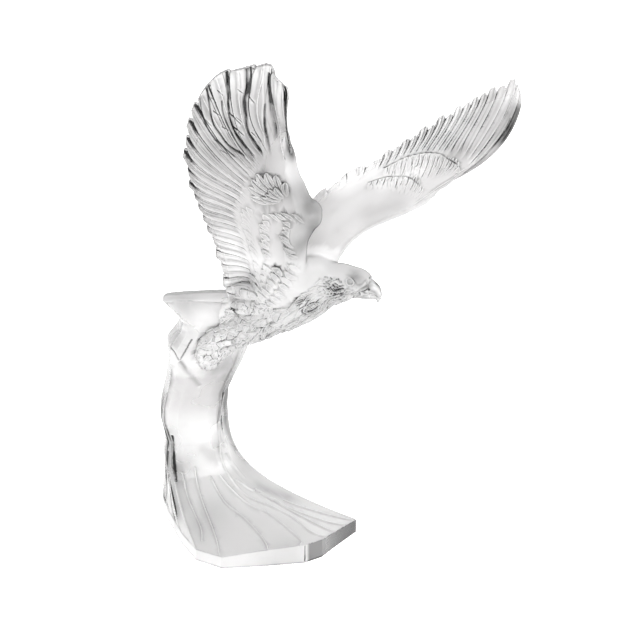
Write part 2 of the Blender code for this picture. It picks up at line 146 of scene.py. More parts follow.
# Near leg, hip to toes, with its radius; the far leg is the same, shifted across the body.
LEG_LINE = ((11, -2, 184), (-2, -2, 174), (-16, 3, 162), (-30, 8, 153), (-38, 12, 142), (-38, 17, 131))
LEG_RADIUS = (15, 17, 12, 10.5, 12, 7)
FAR_LEG_SHIFT = (4, 20, 7)

# Beak: middle line, half width and half height, for the hooked upper half and the lower half.
BEAK_LINE = ((75, -23.8, 207.5), (80.5, -24.9, 207.2), (85.2, -25.9, 204.4), (87.2, -26.2, 199.8),
             (86.2, -26.2, 195.6))
BEAK_HALF_WIDTH = (7, 6.0, 4.4, 2.6, 0.7)
BEAK_HALF_HEIGHT = (7.2, 6.4, 4.6, 2.6, 0.7)
JAW_LINE = ((69, -22.4, 203.0), (77, -24.4, 201.2), (82, -25.4, 200.2), (85.4, -26, 199.4))
JAW_RADIUS = (5.6, 4.0, 3.0, 1.6)

# Head: its middle, the way it faces, and each eye's place and size.
HEAD_MIDDLE = (66, -20.6, 210)
HEAD_FORWARD, HEAD_SIDE = np.array([0.944, -0.330, 0]), np.array([-0.330, -0.944, 0])
EYE, EYE_RADIUS = (3.9, 8.7, 3.8), 2.2

# Broad smooth feathers on the near flank, root to tip, that lie over the hollow between wing and thigh.
FLANK_FEATHERS = (
    ((0, -13, 197), (-12, -11, 199), (-24, -7, 198)),
    ((0, -14, 187), (-11, -12, 187.5), (-21, -7, 186)),
)
FLANK_HALF_WIDTH, FLANK_HALF_HEIGHT = (5, 5.5, 4, 1.5), (5, 6.5, 6, 2)

# Tail: root and end of its middle feather, and how far the outer feathers stand to each side.
TAIL_ROOT, TAIL_END = (2, 12, 184), (-69, 43, 176)
TAIL_SPREAD = (9, 22, -6)
TAIL_FEATHERS = 7
TAIL_HALF_WIDTH, TAIL_HALF_HEIGHT = (4, 6, 5.5), (4.5, 3.4, 2.6)

# Flight feathers: number on each wing, how many of the outermost are cut square, how far they reach in
# under the coverts, the blades' thickness and tilt, and how round their tips are.
NEAR_FEATHERS, NEAR_SQUARE = 20, 5
FAR_FEATHERS, FAR_SQUARE = 22, 1
FLIGHT_HIDDEN, FLIGHT_THICKNESS, FLIGHT_TILT = 0.18, 5.2, 1.3
SQUARE_TIP, ROUND_TIP = 0.5, 0.9

# Relief on the flight feathers: quills and the seams between feathers.
QUILL_WIDTH = 0.42
SEAM_DEPTH, SEAM_WIDTH = 0.65, 0.38
# How dark the painted shade in the deepest cuts in the wings is.
FEATHER_SHADE = 0.84
# The notches of painted shade between the feathers' tips: how wide they begin and how much wider they end,
# and the t that they lie between. The seams get darker painted shade too where they run out to notches:
# from one v to another, and how much.
NOTCH_WIDTHS, NOTCHED = (0.4, 1.5), (0.30, 0.74)
OUTER_SEAM, OUTER_SEAM_GAIN = (0.52, 0.74), 2.4
# Hollows and swellings along the near wing's broad outermost feathers: t and v along each, its height, and
# its half width at its outer and inner ends.
NEAR_FLUTES = (
    (((0.99, 1.0), (1.018, 0.70), (1.02, 0.30), (1.02, 0.0)), -1.6, 2.0, 1.6),
    (((0.960, 0.98), (0.966, 0.64), (0.947, 0.28), (0.90, 0.12)), 1.0, 2.4, 3.0),
    (((0.918, 0.93), (0.911, 0.845), (0.904, 0.678), (0.893, 0.474), (0.872, 0.33)), -1.5, 1.5, 2.2),
    (((0.895, 0.96), (0.876, 0.698), (0.859, 0.595), (0.836, 0.474), (0.795, 0.37)), 0.9, 1.3, 1.2),
    (((0.880, 0.66), (0.855, 0.528), (0.829, 0.404), (0.803, 0.30)), -0.9, 1.0, 1.6),
    (((0.855, 1.0), (0.844, 0.842), (0.816, 0.739), (0.795, 0.644), (0.767, 0.546), (0.761, 0.37)),
     -1.9, 2.2, 1.1),
    (((0.801, 0.995), (0.778, 0.845), (0.761, 0.793), (0.737, 0.701), (0.726, 0.6), (0.726, 0.43)),
     -1.5, 1.5, 0.9),
    (((0.752, 0.86), (0.731, 0.788), (0.718, 0.687), (0.709, 0.592), (0.707, 0.494)), -0.9, 1.1, 0.8),
    (((0.726, 0.987), (0.711, 0.92), (0.685, 0.825), (0.683, 0.756), (0.683, 0.661), (0.703, 0.508)),
     -1.2, 1.2, 0.8),
    (((0.688, 0.984), (0.666, 0.912), (0.658, 0.819), (0.664, 0.698), (0.677, 0.563)), -0.9, 0.9, 0.7),
)
# Slanting cuts in the vanes: t and v at both ends, depth and half width.
NEAR_NICKS = (
    ((0.836, 0.768), (0.848, 0.695), 1.0, 0.55), ((0.748, 0.753), (0.763, 0.625), 1.6, 0.75),
    ((0.733, 0.681), (0.748, 0.575), 1.5, 0.70), ((0.707, 0.866), (0.722, 0.780), 0.8, 0.45),
    ((0.668, 0.891), (0.677, 0.815), 0.6, 0.40), ((0.776, 0.540), (0.784, 0.474), 0.9, 0.50),
    ((0.765, 0.505), (0.771, 0.446), 0.9, 0.50), ((0.812, 0.855), (0.826, 0.790), 0.5, 0.40),
    ((0.752, 0.930), (0.762, 0.862), 0.5, 0.40), ((0.702, 0.760), (0.716, 0.690), 0.7, 0.45),
    ((0.652, 0.790), (0.664, 0.715), 0.6, 0.40), ((0.648, 0.720), (0.661, 0.645), 0.6, 0.40),
    ((0.722, 0.930), (0.733, 0.865), 0.4, 0.35), ((0.760, 0.700), (0.772, 0.630), 0.5, 0.40),
)
# Lines on the far wing: t at the tip and v along each, height and width.
FAR_LINES = (
    (((0.945, 0.90), (0.938, 0.60), (0.936, 0.40), (0.93, 0.26)), -0.8, 0.45),
    (((0.93, 0.25), (0.86, 0.25), (0.76, 0.24), (0.70, 0.20), (0.62, 0.14)), 0.6, 0.6),
    (((0.93, 0.22), (0.86, 0.22), (0.76, 0.21), (0.70, 0.17), (0.62, 0.11)), -0.15, 0.5),
    (((0.972, 0.75), (0.974, 0.55), (0.968, 0.38)), -0.5, 0.6),
    (((0.40, 0.82), (0.45, 0.815), (0.50, 0.805), (0.59, 0.735), (0.68, 0.625), (0.73, 0.53), (0.83, 0.37)),
     -0.8, 0.5),
    (((0.33, 0.73), (0.41, 0.685), (0.47, 0.615), (0.53, 0.535), (0.62, 0.35)), -0.6, 0.45),
)
# Coverts drawn as fans of fine cuts on the far wing: first and last t, how many, and the tips' and the
# roots' v from end to end.
FAR_FANS = (
    (0.43, 0.82, 15, (0.80, 0.79, 0.72, 0.61, 0.52, 0.38), (0.66, 0.60, 0.50, 0.43, 0.38, 0.33)),
    (0.35, 0.63, 10, (0.72, 0.67, 0.60, 0.52, 0.34), (0.65, 0.58, 0.46, 0.36, 0.25)),
)

# Coverts, in rows: first and last t, how many, the tips' v and the roots' v from end to end of the row,
# drift in t from root to tip, half width, and how high the tips stand.
NEAR_ROWS = (
    (0.17, 0.56, 17, (0.37, 0.44, 0.475, 0.44), (0.30, 0.37, 0.40, 0.38), 0.02, 2.0, 0.55),
    (0.19, 0.30, 4, (0.29, 0.31, 0.30), (0.16, 0.18, 0.18), 0.02, 2.8, 1.4),
    (0.36, 0.58, 9, (0.30, 0.315, 0.29, 0.31, 0.315), (0.24, 0.24, 0.23, 0.24, 0.26), 0.01, 2.1, 1.2),
    (0.205, 0.31, 4, (0.20, 0.21, 0.20), (0.09, 0.10, 0.10), 0.02, 2.6, 1.5),
    (0.44, 0.585, 7, (0.105, 0.15, 0.19), (0.03, 0.07, 0.11), 0.01, 1.8, 1.3),
    (0.20, 0.37, 5, (0.09, 0.10, 0.09), (-0.02, -0.01, 0.0), 0.02, 2.2, 1.1),
    (0.595, 0.635, 4, (0.285, 0.25, 0.20, 0.14), (0.20, 0.17, 0.12, 0.06), 0.01, 1.6, 1.3),
    (0.01, 0.10, 3, (0.90, 0.84, 0.72), (0.50, 0.42, 0.34), 0.01, 4.2, 1.5),
    (0.05, 0.17, 3, (0.60, 0.56, 0.50), (0.34, 0.32, 0.30), 0.02, 3.4, 1.6),
    (0.00, 0.16, 5, (0.42, 0.40, 0.38), (0.22, 0.20, 0.20), 0.02, 2.4, 1.5),
    (0.00, 0.17, 6, (0.28, 0.25, 0.23), (0.08, 0.06, 0.06), 0.02, 2.1, 1.3),
    (0.01, 0.19, 6, (0.13, 0.11, 0.10), (-0.06, -0.06, -0.04), 0.02, 2.0, 1.2),
)
FAR_ROWS = (
    (0.42, 0.84, 17, (0.81, 0.80, 0.73, 0.62, 0.53, 0.36), (0.62, 0.56, 0.46, 0.40, 0.36, 0.30),
     0.0, 1.9, 0.8),
    (0.34, 0.64, 13, (0.73, 0.68, 0.61, 0.53, 0.32), (0.60, 0.53, 0.40, 0.30, 0.22), 0.0, 1.9, 0.8),
)
BACK_ROWS = (
    (0.08, 0.86, 18, (0.60, 0.62, 0.62, 0.58, 0.50), (0.38, 0.40, 0.40, 0.36, 0.32), 0.01, 3.0, 0.9),
    (0.10, 0.80, 18, (0.42, 0.44, 0.44, 0.40, 0.34), (0.22, 0.24, 0.24, 0.22, 0.18), 0.01, 2.7, 0.9),
    (0.14, 0.72, 16, (0.26, 0.28, 0.28, 0.26, 0.22), (0.08, 0.10, 0.10, 0.10, 0.08), 0.01, 2.3, 0.8),
)
# A tuft of curling feathers on the near wing: the spot that it grows from, and each feather's tip, half
# width, rise and bow.
TUFT_ROOT = (0.672, 0.17)
TUFT = (
    ((0.605, 0.43), 1.7, 1.1, 1.5), ((0.628, 0.46), 1.8, 1.2, 1.6), ((0.657, 0.45), 2.0, 1.4, 1.8),
    ((0.687, 0.415), 2.2, 1.5, 1.8), ((0.720, 0.34), 2.4, 1.5, 1.6), ((0.751, 0.25), 2.2, 1.4, 1.2),
    ((0.768, 0.155), 1.8, 1.2, 0.8), ((0.630, 0.36), 1.5, 1.7, 1.4), ((0.652, 0.33), 1.5, 1.9, 1.2),
    ((0.676, 0.31), 1.6, 2.1, 1.0), ((0.702, 0.26), 1.6, 2.1, 0.8),
)

# Feathers along the body, from rump to forehead: length, half width, rise, how unruly they lie, and the
# angles round the body that they start at, below, and reach up to.
BODY_FEATHERS = {
    "length": (12, 12, 14, 16, 15, 12, 8.0, 6.0, 5.0),
    "half_width": (2.8, 2.8, 2.8, 2.6, 2.3, 2.0, 1.8, 1.7, 1.5),
    "rise": (1.4, 1.4, 1.3, 1.3, 1.2, 1.1, 1.1, 1.1, 0.6),
    "unruly": (0.9, 0.8, 0.6, 0.5, 0.4, 0.4, 0.6, 0.6, 0.3),
    "low": (-0.9, -0.8, -0.8, -0.9, -1.1, -1.3, -1.4, -1.2, -1.0),
    "top": (0.3, 0.2, 0.0, -0.15, -0.2, -0.05, 0.35, -0.2, -0.9),
}
# The chiselled cheek: how far it reaches forward and up from the head's middle, and how many cuts it has.
CHEEK_FORWARD, CHEEK_UP, CHEEK_CUTS = (-15.0, -1.0), (-7.5, 5.0), 70

# Lines on the head, as forward, side and up from its middle: path, height and width. They are the brow,
# the ring round the eye, the corner of the mouth, the swelling over it, the mouth, and the beak's root.
HEAD_LINES = (
    (((-1, 10, 8.4), (2.1, 10, 8.6), (5.2, 10, 7.0), (7.5, 10, 3.2), (9.9, 10, 0.9), (12.6, 9, 1.6),
      (15.1, 7.5, 4.7), (16.6, 5, 5.8)), -0.22, 0.8),
    (((1.8, 10, 6.0), (3.4, 10, 6.3), (5.6, 10, 4.9), (6.6, 10, 3.0), (5.2, 10, 1.1), (2.3, 10, 1.2),
      (1.0, 10, 3.5), (1.8, 10, 6.0)), 1.3, 0.42),
    (((3.8, 10, -6.0), (9.6, 10, -6.4), (13.2, 8.6, -5.2), (15.8, 7, -3.0), (17.5, 5.5, -1.4)), -0.7, 0.5),
    (((5.1, 10, -2.6), (9.6, 9.5, -2.4), (13.2, 8.5, 0.0), (15.6, 6.5, 3.4)), 0.5, 1.0),
    (((12.7, 9, -6.8), (16.2, 7, -8.3), (19.0, 4.5, -9.7), (22.3, 1.5, -9.4)), -0.7, 0.45),
    (((16.8, 4.0, 5.4), (17.4, 3.0, 5.8), (17.8, 1.0, 6.0), (17.8, -0.5, 6.0)), -0.8, 0.6),
)
NOSTRIL = (17.0, 5.6, -3.2)
# The oval feather on the near side of the breast: its middle, and its long and short half axes.
OVAL_MIDDLE, OVAL_LONG, OVAL_SHORT = (38.6, -24.5, 190.6), (6.0, -0.5, 3.4), (-1.6, -0.8, 3.0)
# Short curling feathers above it: root and tip.
TEETH = (
    ((33.5, -25.5, 199.5), (28.0, -25.5, 198.0)),
    ((33.0, -25.5, 197.6), (27.2, -25.5, 195.4)),
    ((31.5, -25.5, 195.4), (26.4, -25.5, 192.8)),
)

# Base: flutes on the column's left side, by corner number, and the edge between its front and its right
# side. Then single lines, each with height and width: round the facet like a leaf near the column's top,
# down the rim, and along the folds of the column's left edge.
SIDE_FLUTES = (0.6, 1.1, 1.55, 2.0)
RIGHT_EDGE = 7.6
BASE_LINES = (
    (((-67.6, 26.1, 144.6), (-65.1, 19.6, 139.8), (-61.0, 18.9, 132.9)), -0.6, 0.6),
    (((-61.0, 18.9, 132.9), (-55.9, 15.7, 142.9), (-51.2, 14.4, 152.2)), -0.6, 0.6),
    (((-61.0, 18.9, 132.9), (-53.3, 18.5, 122.6), (-46.0, 19.6, 112.5)), -0.5, 2.2),
    (((33.7, -53.9, 14.6), (33.7, -53.9, 8.0), (33.4, -53.9, 0.5)), -0.9, 0.6),
    (((-68.1, 26.6, 69.8), (-67.5, 25.5, 59.5), (-66.7, 22.0, 51.2), (-65.9, 17.4, 43.2),
      (-65.3, 12.2, 37.1)), -1.2, 1.1),
    (((-71.5, 29.6, 56.2), (-71.0, 25.0, 33.3), (-70.2, 22.8, 26.0), (-68.5, 15.6, 14.2)), -1.0, 0.9),
)
# Painted shade: hollows this deep, in millimetres, are painted the darkest: narrow ones and broad ones.
# Narrow ones are painted fainter on the sweep, below a height.
FINE_CREASE, BROAD_CREASE = 0.20, 0.5
PLATE_TOP, PLATE_CREASE = 60, 0.25
# How polished the feathers' tips, the plate and the column are, and how clear and lit the plate and body are.
TIP_POLISH, PLATE_POLISH, COLUMN_POLISH = 0.7, 0.8, 0.45
# The plate's and the body's lighter base colour is partly clearer crystal and partly painted light.
PLATE_CLEAR_AND_LIGHT, BODY_CLEAR_AND_LIGHT = 0.7, 0.8
# The rim's greatest height, the body's lowest, and how strong the painted dark reflection on the glossy
# feathers is.
RIM_TOP, BODY_BOTTOM, GLOSS_PAINTED_SHADE = 15, 120, 0.14
# Painted shade: places where the base colour is darker: a line through a few spots, radius and strength.
PAINTED_SHADE_SPOTS = (
    (((40, -42, 262), (39, -38, 270)), 10, 0.6),
    (((44, -36, 248), (31, -38, 241)), 11, 0.65),
    (((37, -37, 277), (38, -6, 232)), 8, 0.15),
    (((16, -40, 286), (28, -40, 284)), 10, 0.48),
    (((23, -47, 356), (24, -43, 331), (25, -45, 314)), 4.5, 0.85),
    (((3, -37, 309), (-9, -36, 314), (-30, -37, 314)), 13, 0.20),
    (((-10, -38, 330), (-2, -38, 345)), 14, 0.10),
    (((82, 10, 250), (103, 18, 255)), 9, 0.24),
    (((150, 42, 291), (140, 36, 285)), 6, 0.22),
    (((182, 50, 296), (188, 56, 306), (192, 62, 315)), 6, 0.8),
    (((76, -31, 208), (80, -28, 211)), 3, 0.45),
    (((50, -33, 203), (58, -34, 199), (66, -33, 197), (76, -29, 200)), 3.5, 0.35),
    (((70, -29, 219), (79, -25, 213)), 5, 0.35),
    (((66, -31, 213),), 4, 0.15),
    (((70, -31, 216), (73, -30, 211)), 4, 0.35),
    (((80, -31, 209), (82, -31, 205)), 1.5, 0.6),
    (((84, -30, 205), (86, -29, 201)), 1.4, 0.5),
    (((86, -26, 210), (90, -26, 204), (90, -26, 198)), 2.6, 0.9),
    (((74, -28, 198), (84, -28, 197)), 2.5, 0.5),
    (((24, -26, 203), (32, -27, 208)), 8, 0.25),
    (((40, -24, 186), (52, -28, 192)), 5, 0.25),
    (((-56, 9, 181), (-60, 20, 146)), 12, 0.36),
    (((30, -39, 256), (32, -40, 246)), 9, 0.14),
    (((-45, -25, 20), (-34, -12, 27)), 14, 0.14),
    (((96, 17, 264), (118, 27, 275)), 6, 0.08),
    (((3, -34, 284), (12, -36, 277)), 8, 0.10),
    (((0, -60, 4), (22, -56, 6)), 8, 0.14),
    (((-27, 38, 75), (-28, 32, 95)), 7, 0.12),
    (((-38, 3, 150),), 12, 0.20),
    (((-34, 19, 126), (-23, 20, 133), (-27, 33, 106)), 9, 0.60),
    (((-27, 36, 104), (-28, 36, 86), (-25, 42, 67), (-14, 48, 42)), 8, 0.75),
    (((-76, 45, 91), (-74, 33, 70), (-73, 31, 47), (-76, 48, 12)), 9, 0.85),
    (((-66, 18, 45), (-66, 16, 28), (-62, 0, 17)), 10, 0.60),
    (((-62, 20, 130), (-60, 22, 100)), 13, 0.06),
    (((-62, 24, 75), (-55, 19, 50)), 12, 0.20),
    (((1, 14, 31), (20, 14, 24)), 7, 0.30),
    (((20, -56, 6),), 14, 0.12),
)
# Painted light: places where the base colour is lighter: a line through a few spots, radius and strength.
PAINTED_LIGHT_SPOTS = (
    (((-18, -6, 190), (-34, 11, 164)), 18, 1.0),
    (((8, -26, 221), (-14, -10, 219), (-20, -6, 240)), 16, 0.9),
    (((-3, -18, 171), (20, -18, 178)), 16, 1.0),
    (((60, 24, 272), (96, 36, 289), (118, 42, 296), (142, 54, 310)), 13, 1.0),
    (((80, 34, 285), (112, 47, 303), (150, 60, 322)), 14, 1.0),
    (((90, 22, 272), (106, 24, 274), (118, 30, 280)), 9, 1.0),
    (((186, 62, 324), (193, 66, 330)), 9, 0.8),
    (((50, -2, 250), (70, 8, 262), (104, 21, 268)), 12, 0.35),
    (((-62, 44, 178), (-20, 20, 184)), 14, 1.0),
    (((-32, -54, 370), (12, -61, 380), (21, -56, 364)), 14, 0.8),
    (((-42, -24, 268),), 15, 0.4),
    (((-24, -7, 200), (0, -14, 200)), 10, 1.0),
    (((56, -31, 213), (44, -30, 216)), 12, 1.0),
)

# Finish: how much light passes through the crystal, its tones where it is etched, where it is clear and has
# painted light and highlights, and where shade is painted, as in the deepest creases, and its roughness where
# it is etched and where it is polished.
TRANSMISSION = 0.50
SATIN_TONE, CLEAR_AND_LIT_TONE = (0.65, 0.64, 0.64, 1), (0.98, 0.975, 0.975, 1)
PAINTED_SHADE_TONE = (0.003, 0.003, 0.003, 1)
SATIN_ROUGH, POLISHED_ROUGH = 0.40, 0.10
# Painted shade in the seams between feathers, and a second, fainter painted line in each feather: from and to
# how far from the feather's middle, as shares of its width, how dark, and how far the second line is shifted.
SEAM, SEAM_DARK = (0.445, 0.49), 0.9
SECOND_SEAM, SECOND_DARK, SECOND_SHIFT = (0.465, 0.495), 0.45, 0.17
# Painted shade on edges seen at a slant: from and to how slanting, from and to what height, and how much.
OUTLINE_FACING, OUTLINE_HEIGHT, OUTLINE_DARK = (0.50, 0.95), (0.03, 0.10), 0.55
# The rim's right end has painted shade: in metres, the x where each of two facets begins, with how much
# darker it is, the y where they end and the height that they reach up to.
RIM_FACETS = ((0.034, 0.037, 0.72), (0.045, 0.066, 0.22))
RIM_FACET_END, RIM_FACET_TOP = (0.03, 0.005), (0.018, 0.0155)
# Light: the floor's own glow, the sky's brightness at the horizon and overhead, and each soft lamp's place
# and power.
FLOOR_HALF, FLOOR_GLOW = 12.0, 0.85
SKY = (0.30, 0.75)
LAMP_SIZE = 1.2
LAMPS = (((1.5, -0.3, 1.8), 20.0), ((0.6, -0.6, 2.4), 12.0), ((-1.3, -1.6, 0.35), 8.0))
# Camera: what it looks at, how far away and how high it stands, and how wide a view it has there.
VIEW_MIDDLE, VIEW_DISTANCE, VIEW_HEIGHT, VIEW_WIDTH = (0.0444, 0, 0.1725), 2.2, math.radians(20), 0.4736


class Curve:
    """Smooth curve through a few points, read at a share of its length or, if even, of the number of its
    spans. It runs on straight past its ends."""

    def __init__(self, points, even=False):
        self.points = np.array(points, float)
        steps = np.linalg.norm(np.diff(self.points, axis=0), axis=1)
        if even:
            steps = np.ones(len(steps))
        self.knots = np.concatenate([[0], np.cumsum(steps)]) / steps.sum()
        self.slopes = np.gradient(self.points, self.knots, axis=0)

    def __call__(self, share):
        share = np.asarray(share, float)
        inside = np.clip(share, 0, 1)
        k = np.clip(np.searchsorted(self.knots, inside, side="right") - 1, 0, len(self.knots) - 2)
        span = (self.knots[k + 1] - self.knots[k])[..., None]
        s = (inside - self.knots[k])[..., None] / span
        start, end = self.points[k], self.points[k + 1]
        start_slope, end_slope = self.slopes[k] * span, self.slopes[k + 1] * span
        on_curve = (
            (2 * s**3 - 3 * s**2 + 1) * start
            + (s**3 - 2 * s**2 + s) * start_slope
            + (3 * s**2 - 2 * s**3) * end
            + (s**3 - s**2) * end_slope
        )
        past = (share - inside)[..., None]
        return on_curve + past * np.where(past < 0, self.slopes[0], self.slopes[-1])


class Table:
    """A size that changes smoothly along a form: values at evenly spaced shares from 0 to 1."""

    def __init__(self, values):
        self.values = np.array(values, float)

    def __call__(self, share):
        return np.interp(share, np.linspace(0, 1, len(self.values)), self.values)


def ease(share):
    """0 to 1 with soft ends."""
    share = np.clip(share, 0, 1)
    return share * share * (3 - 2 * share)


class Wing:
    """The middle surface of a wing. A quill runs at each t, 0 by the body to 1 for the outermost
    feather, from the leading edge at v = 0 to the feather tips at v = 1. bends holds how far the
    quills bow in the wing's plane, evenly spaced in t, and hollow how far they bulge out of it. The
    arm is the round front edge, and the core the flesh behind it. feathers is how many flight feathers
    there are, edges where they meet at their tips, and lean how far each edge has drifted in t at its root.
    lap is how much wider each feather is than its share, inwards and outwards, and lines_start the v at
    which the flight feathers come out from under the coverts. saw is how far every second feather stands
    out, as a share of its length, and quill the height of the quills in mm, negative for a cut. depth is
    how deep the lines between the feathers are from t = 0 to 1, as a share, and notch_dark how strong the
    painted shade in the notches between their tips is. The seen side is +1 for the bird's back."""

    def __init__(self, roots, tips, bends, hollow, core_thickness, arm_radius, feathers, edges, lean, lap,
                 lines_start, saw, quill, depth, notch_dark, seen):
        self.roots, self.tips = Curve(roots), Curve(tips)
        self.bends, self.hollow = Curve(bends, even=True), np.array(hollow, float)
        self.core_thickness, self.arm_radius = Table(core_thickness), Table(arm_radius)
        self.edges, self.lean = Table(edges)(np.linspace(0, 1, feathers + 1)), Table(lean)
        self.lap, self.lines_start, self.seen = lap, Table(lines_start), seen
        self.saw, self.quill, self.depth, self.notch_dark = saw, quill, Table(depth), notch_dark

    def at(self, t, v):
        t, v = np.broadcast_arrays(np.asarray(t, float), np.asarray(v, float))
        root, tip = self.roots(t), self.tips(t)
        v = v[..., None]
        middle = (root + tip) / 2 + self.bends(np.clip(t, 0, 1))
        line = (1 - v) ** 2 * root + 2 * v * (1 - v) * middle + v**2 * tip
        return line + self.hollow * np.sin(math.pi * np.clip(v, 0, 1))

    def normal(self, t, v):
        """Unit normal, on the side that the wing's middle bulges to: the bird's back."""
        step = 0.01
        across = self.at(t + step, v) - self.at(t - step, v)
        along = self.at(t, v + step) - self.at(t, v - step)
        normal = np.cross(across, along)
        normal /= np.linalg.norm(normal, axis=-1, keepdims=True)
        return normal * np.where((normal @ self.hollow) < 0, -1.0, 1.0)[..., None]

    def drift(self, tip_t, v):
        """The t at which the feather edge or quill that ends at tip_t passes v."""
        return tip_t + self.lean(tip_t) * ease((1 - v) / 0.55)

    def undrift(self, t, v):
        tip_t = t
        for _ in range(6):
            tip_t = t - self.lean(tip_t) * ease((1 - v) / 0.55)
        return tip_t


# The near wing stands upright and leans to -Y; the far one reaches out past the head.
NEAR_WING = Wing(
    roots=((1, -14, 181), (20, -23, 203), (32, -27, 223), (34, -29, 244), (42, -33, 263), (34.5, -36, 281),
           (29, -40, 293), (25, -46, 312)),
    tips=((-22, -4, 183), (-33, -12, 236), (-42, -19, 263), (-50, -27, 291), (-52, -35, 315), (-48, -43, 341),
          (-38, -50, 363), (-24, -56, 377), (-8, -60, 381), (9, -62, 385), (14, -60, 374), (21, -56, 366)),
    bends=((0, 0, 0), (-3, 2, -4), (-12, 4, -14), (-19, 6, -30), (-16, 4, -6), (-9, 0, 0)),
    hollow=(2, 7, 1),
    core_thickness=(18, 17, 16, 15, 12, 9),
    arm_radius=(3, 6, 9, 8.5, 10, 10, 7, 4.5, 3),
    feathers=NEAR_FEATHERS,
    edges=(0.01, 0.228, 0.413, 0.666, 0.995),
    lean=(0.05, 0.045, 0.045, 0.085, 0.10, 0.08, 0.02, -0.02, -0.08, -0.07, 0.0),
    lap=(0.0, 0.35),
    lines_start=(0.40, 0.42, 0.46, 0.48, 0.46, 0.42, 0.36, 0.30, 0.25),
    saw=0.012, quill=0.40,
    depth=(1, 1, 1, 1), notch_dark=2.6,
    seen=-1,
)
FAR_WING = Wing(
    roots=((53, 0, 213), (61, 7, 226), (75, 15, 237), (92, 22, 243), (107, 28, 247), (121, 34, 253),
           (129, 38, 261), (138, 41, 266)),
    tips=((24, 13, 240), (52, 24, 270), (72, 32, 279), (100, 42, 293), (123, 50, 306), (147, 58, 319),
          (165, 64, 328), (180, 68, 334), (190, 70, 336), (194, 68, 325)),
    bends=((0, 0, 0), (3, -1, -3), (6, -2, -6), (9, 0, -10), (18, 2, -16)),
    hollow=(1, -6, 3),
    core_thickness=(18, 16, 13, 11, 9, 7),
    arm_radius=(10, 9, 8, 7, 6, 5, 4, 3),
    feathers=FAR_FEATHERS,
    edges=(0.0, 0.22, 0.41, 0.50, 0.592, 0.68, 0.77, 0.85, 0.94, 1.01),
    lean=(0.0, -0.05, -0.10, -0.13, -0.15, -0.15, -0.15, -0.14, -0.11, -0.03, 0.0),
    lap=(0.35, 0.0),
    lines_start=(0.95, 0.93, 0.90, 0.87, 0.82, 0.79, 0.71, 0.60, 0.48, 0.33, 0.24),
    saw=0.030, quill=-0.40,
    depth=(0.5, 0.5, 0.5, 0.6, 0.9, 1.2, 1.3, 1.1, 1.0, 0.3, 0.2), notch_dark=0.3,
    seen=1,
)


class Clay:
    """Gathers closed forms that overlap, to be cast as one solid."""

    def __init__(self):
        self.points, self.faces, self.count = [], [], 0

    def add(self, rings):
        """A closed body skinned over rings of points, with flat ends."""
        rings = np.asarray(rings, float)
        rows, sides = rings.shape[:2]
        k, j = np.meshgrid(np.arange(rows - 1), np.arange(sides), indexing="ij")
        here, beside = k * sides + j, k * sides + (j + 1) % sides
        quads = np.stack([here, beside, beside + sides, here + sides], -1).reshape(-1, 4)
        self.points.append(rings.reshape(-1, 3))
        self.faces += (quads + self.count).tolist()
        self.faces.append([self.count + i for i in reversed(range(sides))])
        self.faces.append([self.count + (rows - 1) * sides + i for i in range(sides)])
        self.count += rows * sides


def ring_angles(sides):
    return np.linspace(0, 2 * math.pi, sides, endpoint=False)


def unit(vectors):
    return vectors / np.maximum(np.linalg.norm(vectors, axis=-1, keepdims=True), 1e-9)


def limb_frame(line, share):
    """Points on a limb's middle line, with its forward, side and up directions."""
    middle = Curve(line)
    forward = unit(middle(share + 0.01) - middle(share - 0.01))
    side = unit(np.cross([0, 0, 1], forward))
    return middle(share), forward, side, np.cross(forward, side)


def add_limb(clay, line, half_width, half_height, rows, sides):
    """A round form along a curve: half_width is level, half_height stands square to it."""
    share = np.linspace(0, 1, rows + 1)
    points, _, side, up = limb_frame(line, share)
    wide, high = Table(half_width)(share), Table(half_height)(share)
    angle = ring_angles(sides)[None, :, None]
    clay.add(
        points[:, None]
        + side[:, None] * wide[:, None, None] * np.cos(angle)
        + up[:, None] * high[:, None, None] * np.sin(angle)
    )


def add_wing_core(clay, wing):
    """The flesh of the wing: an aerofoil, thick at its leading edge, that runs out under the coverts."""
    t = np.linspace(-0.10, 0.98, CORE_ROWS + 1)[:, None]
    angle = ring_angles(CORE_SIDES)[None, :]
    chord = (1 - np.cos(angle)) / 2
    nose = np.sqrt(chord) * (1 - chord) * 2.6
    v = chord * np.clip(wing.lines_start(np.clip(t, 0, 1)) + 0.14, 0.5, 0.97)
    half = wing.core_thickness(t) / 2 * nose * np.sign(np.sin(angle))
    clay.add(wing.at(t, v) + wing.normal(t, v) * half[..., None])


def add_wing_arm(clay, wing):
    """The rounded front edge, from inside the body to the wrist."""
    t = np.linspace(-0.10, 0.97, CORE_ROWS + 1)[:, None]
    angle = ring_angles(CORE_SIDES)[None, :]
    radius = wing.arm_radius(np.clip(t, 0, 1))
    chord = np.linalg.norm(wing.tips(t[:, 0]) - wing.roots(t[:, 0]), axis=1)[:, None]
    v = radius / chord * (0.8 + np.cos(angle))
    clay.add(wing.at(t, v) + wing.normal(t, v) * (radius * np.sin(angle))[..., None])


def blade_width(share, tip_round):
    """Half width of a feather along its quill: full to near the end, then rounded off or cut square."""
    end = np.clip((share - 0.84) / 0.16, 0, 1)
    return (0.62 + 0.38 * np.sin(np.clip(share * 1.6, 0, 1) * math.pi / 2)) * np.sqrt(1 - tip_round * end**2)


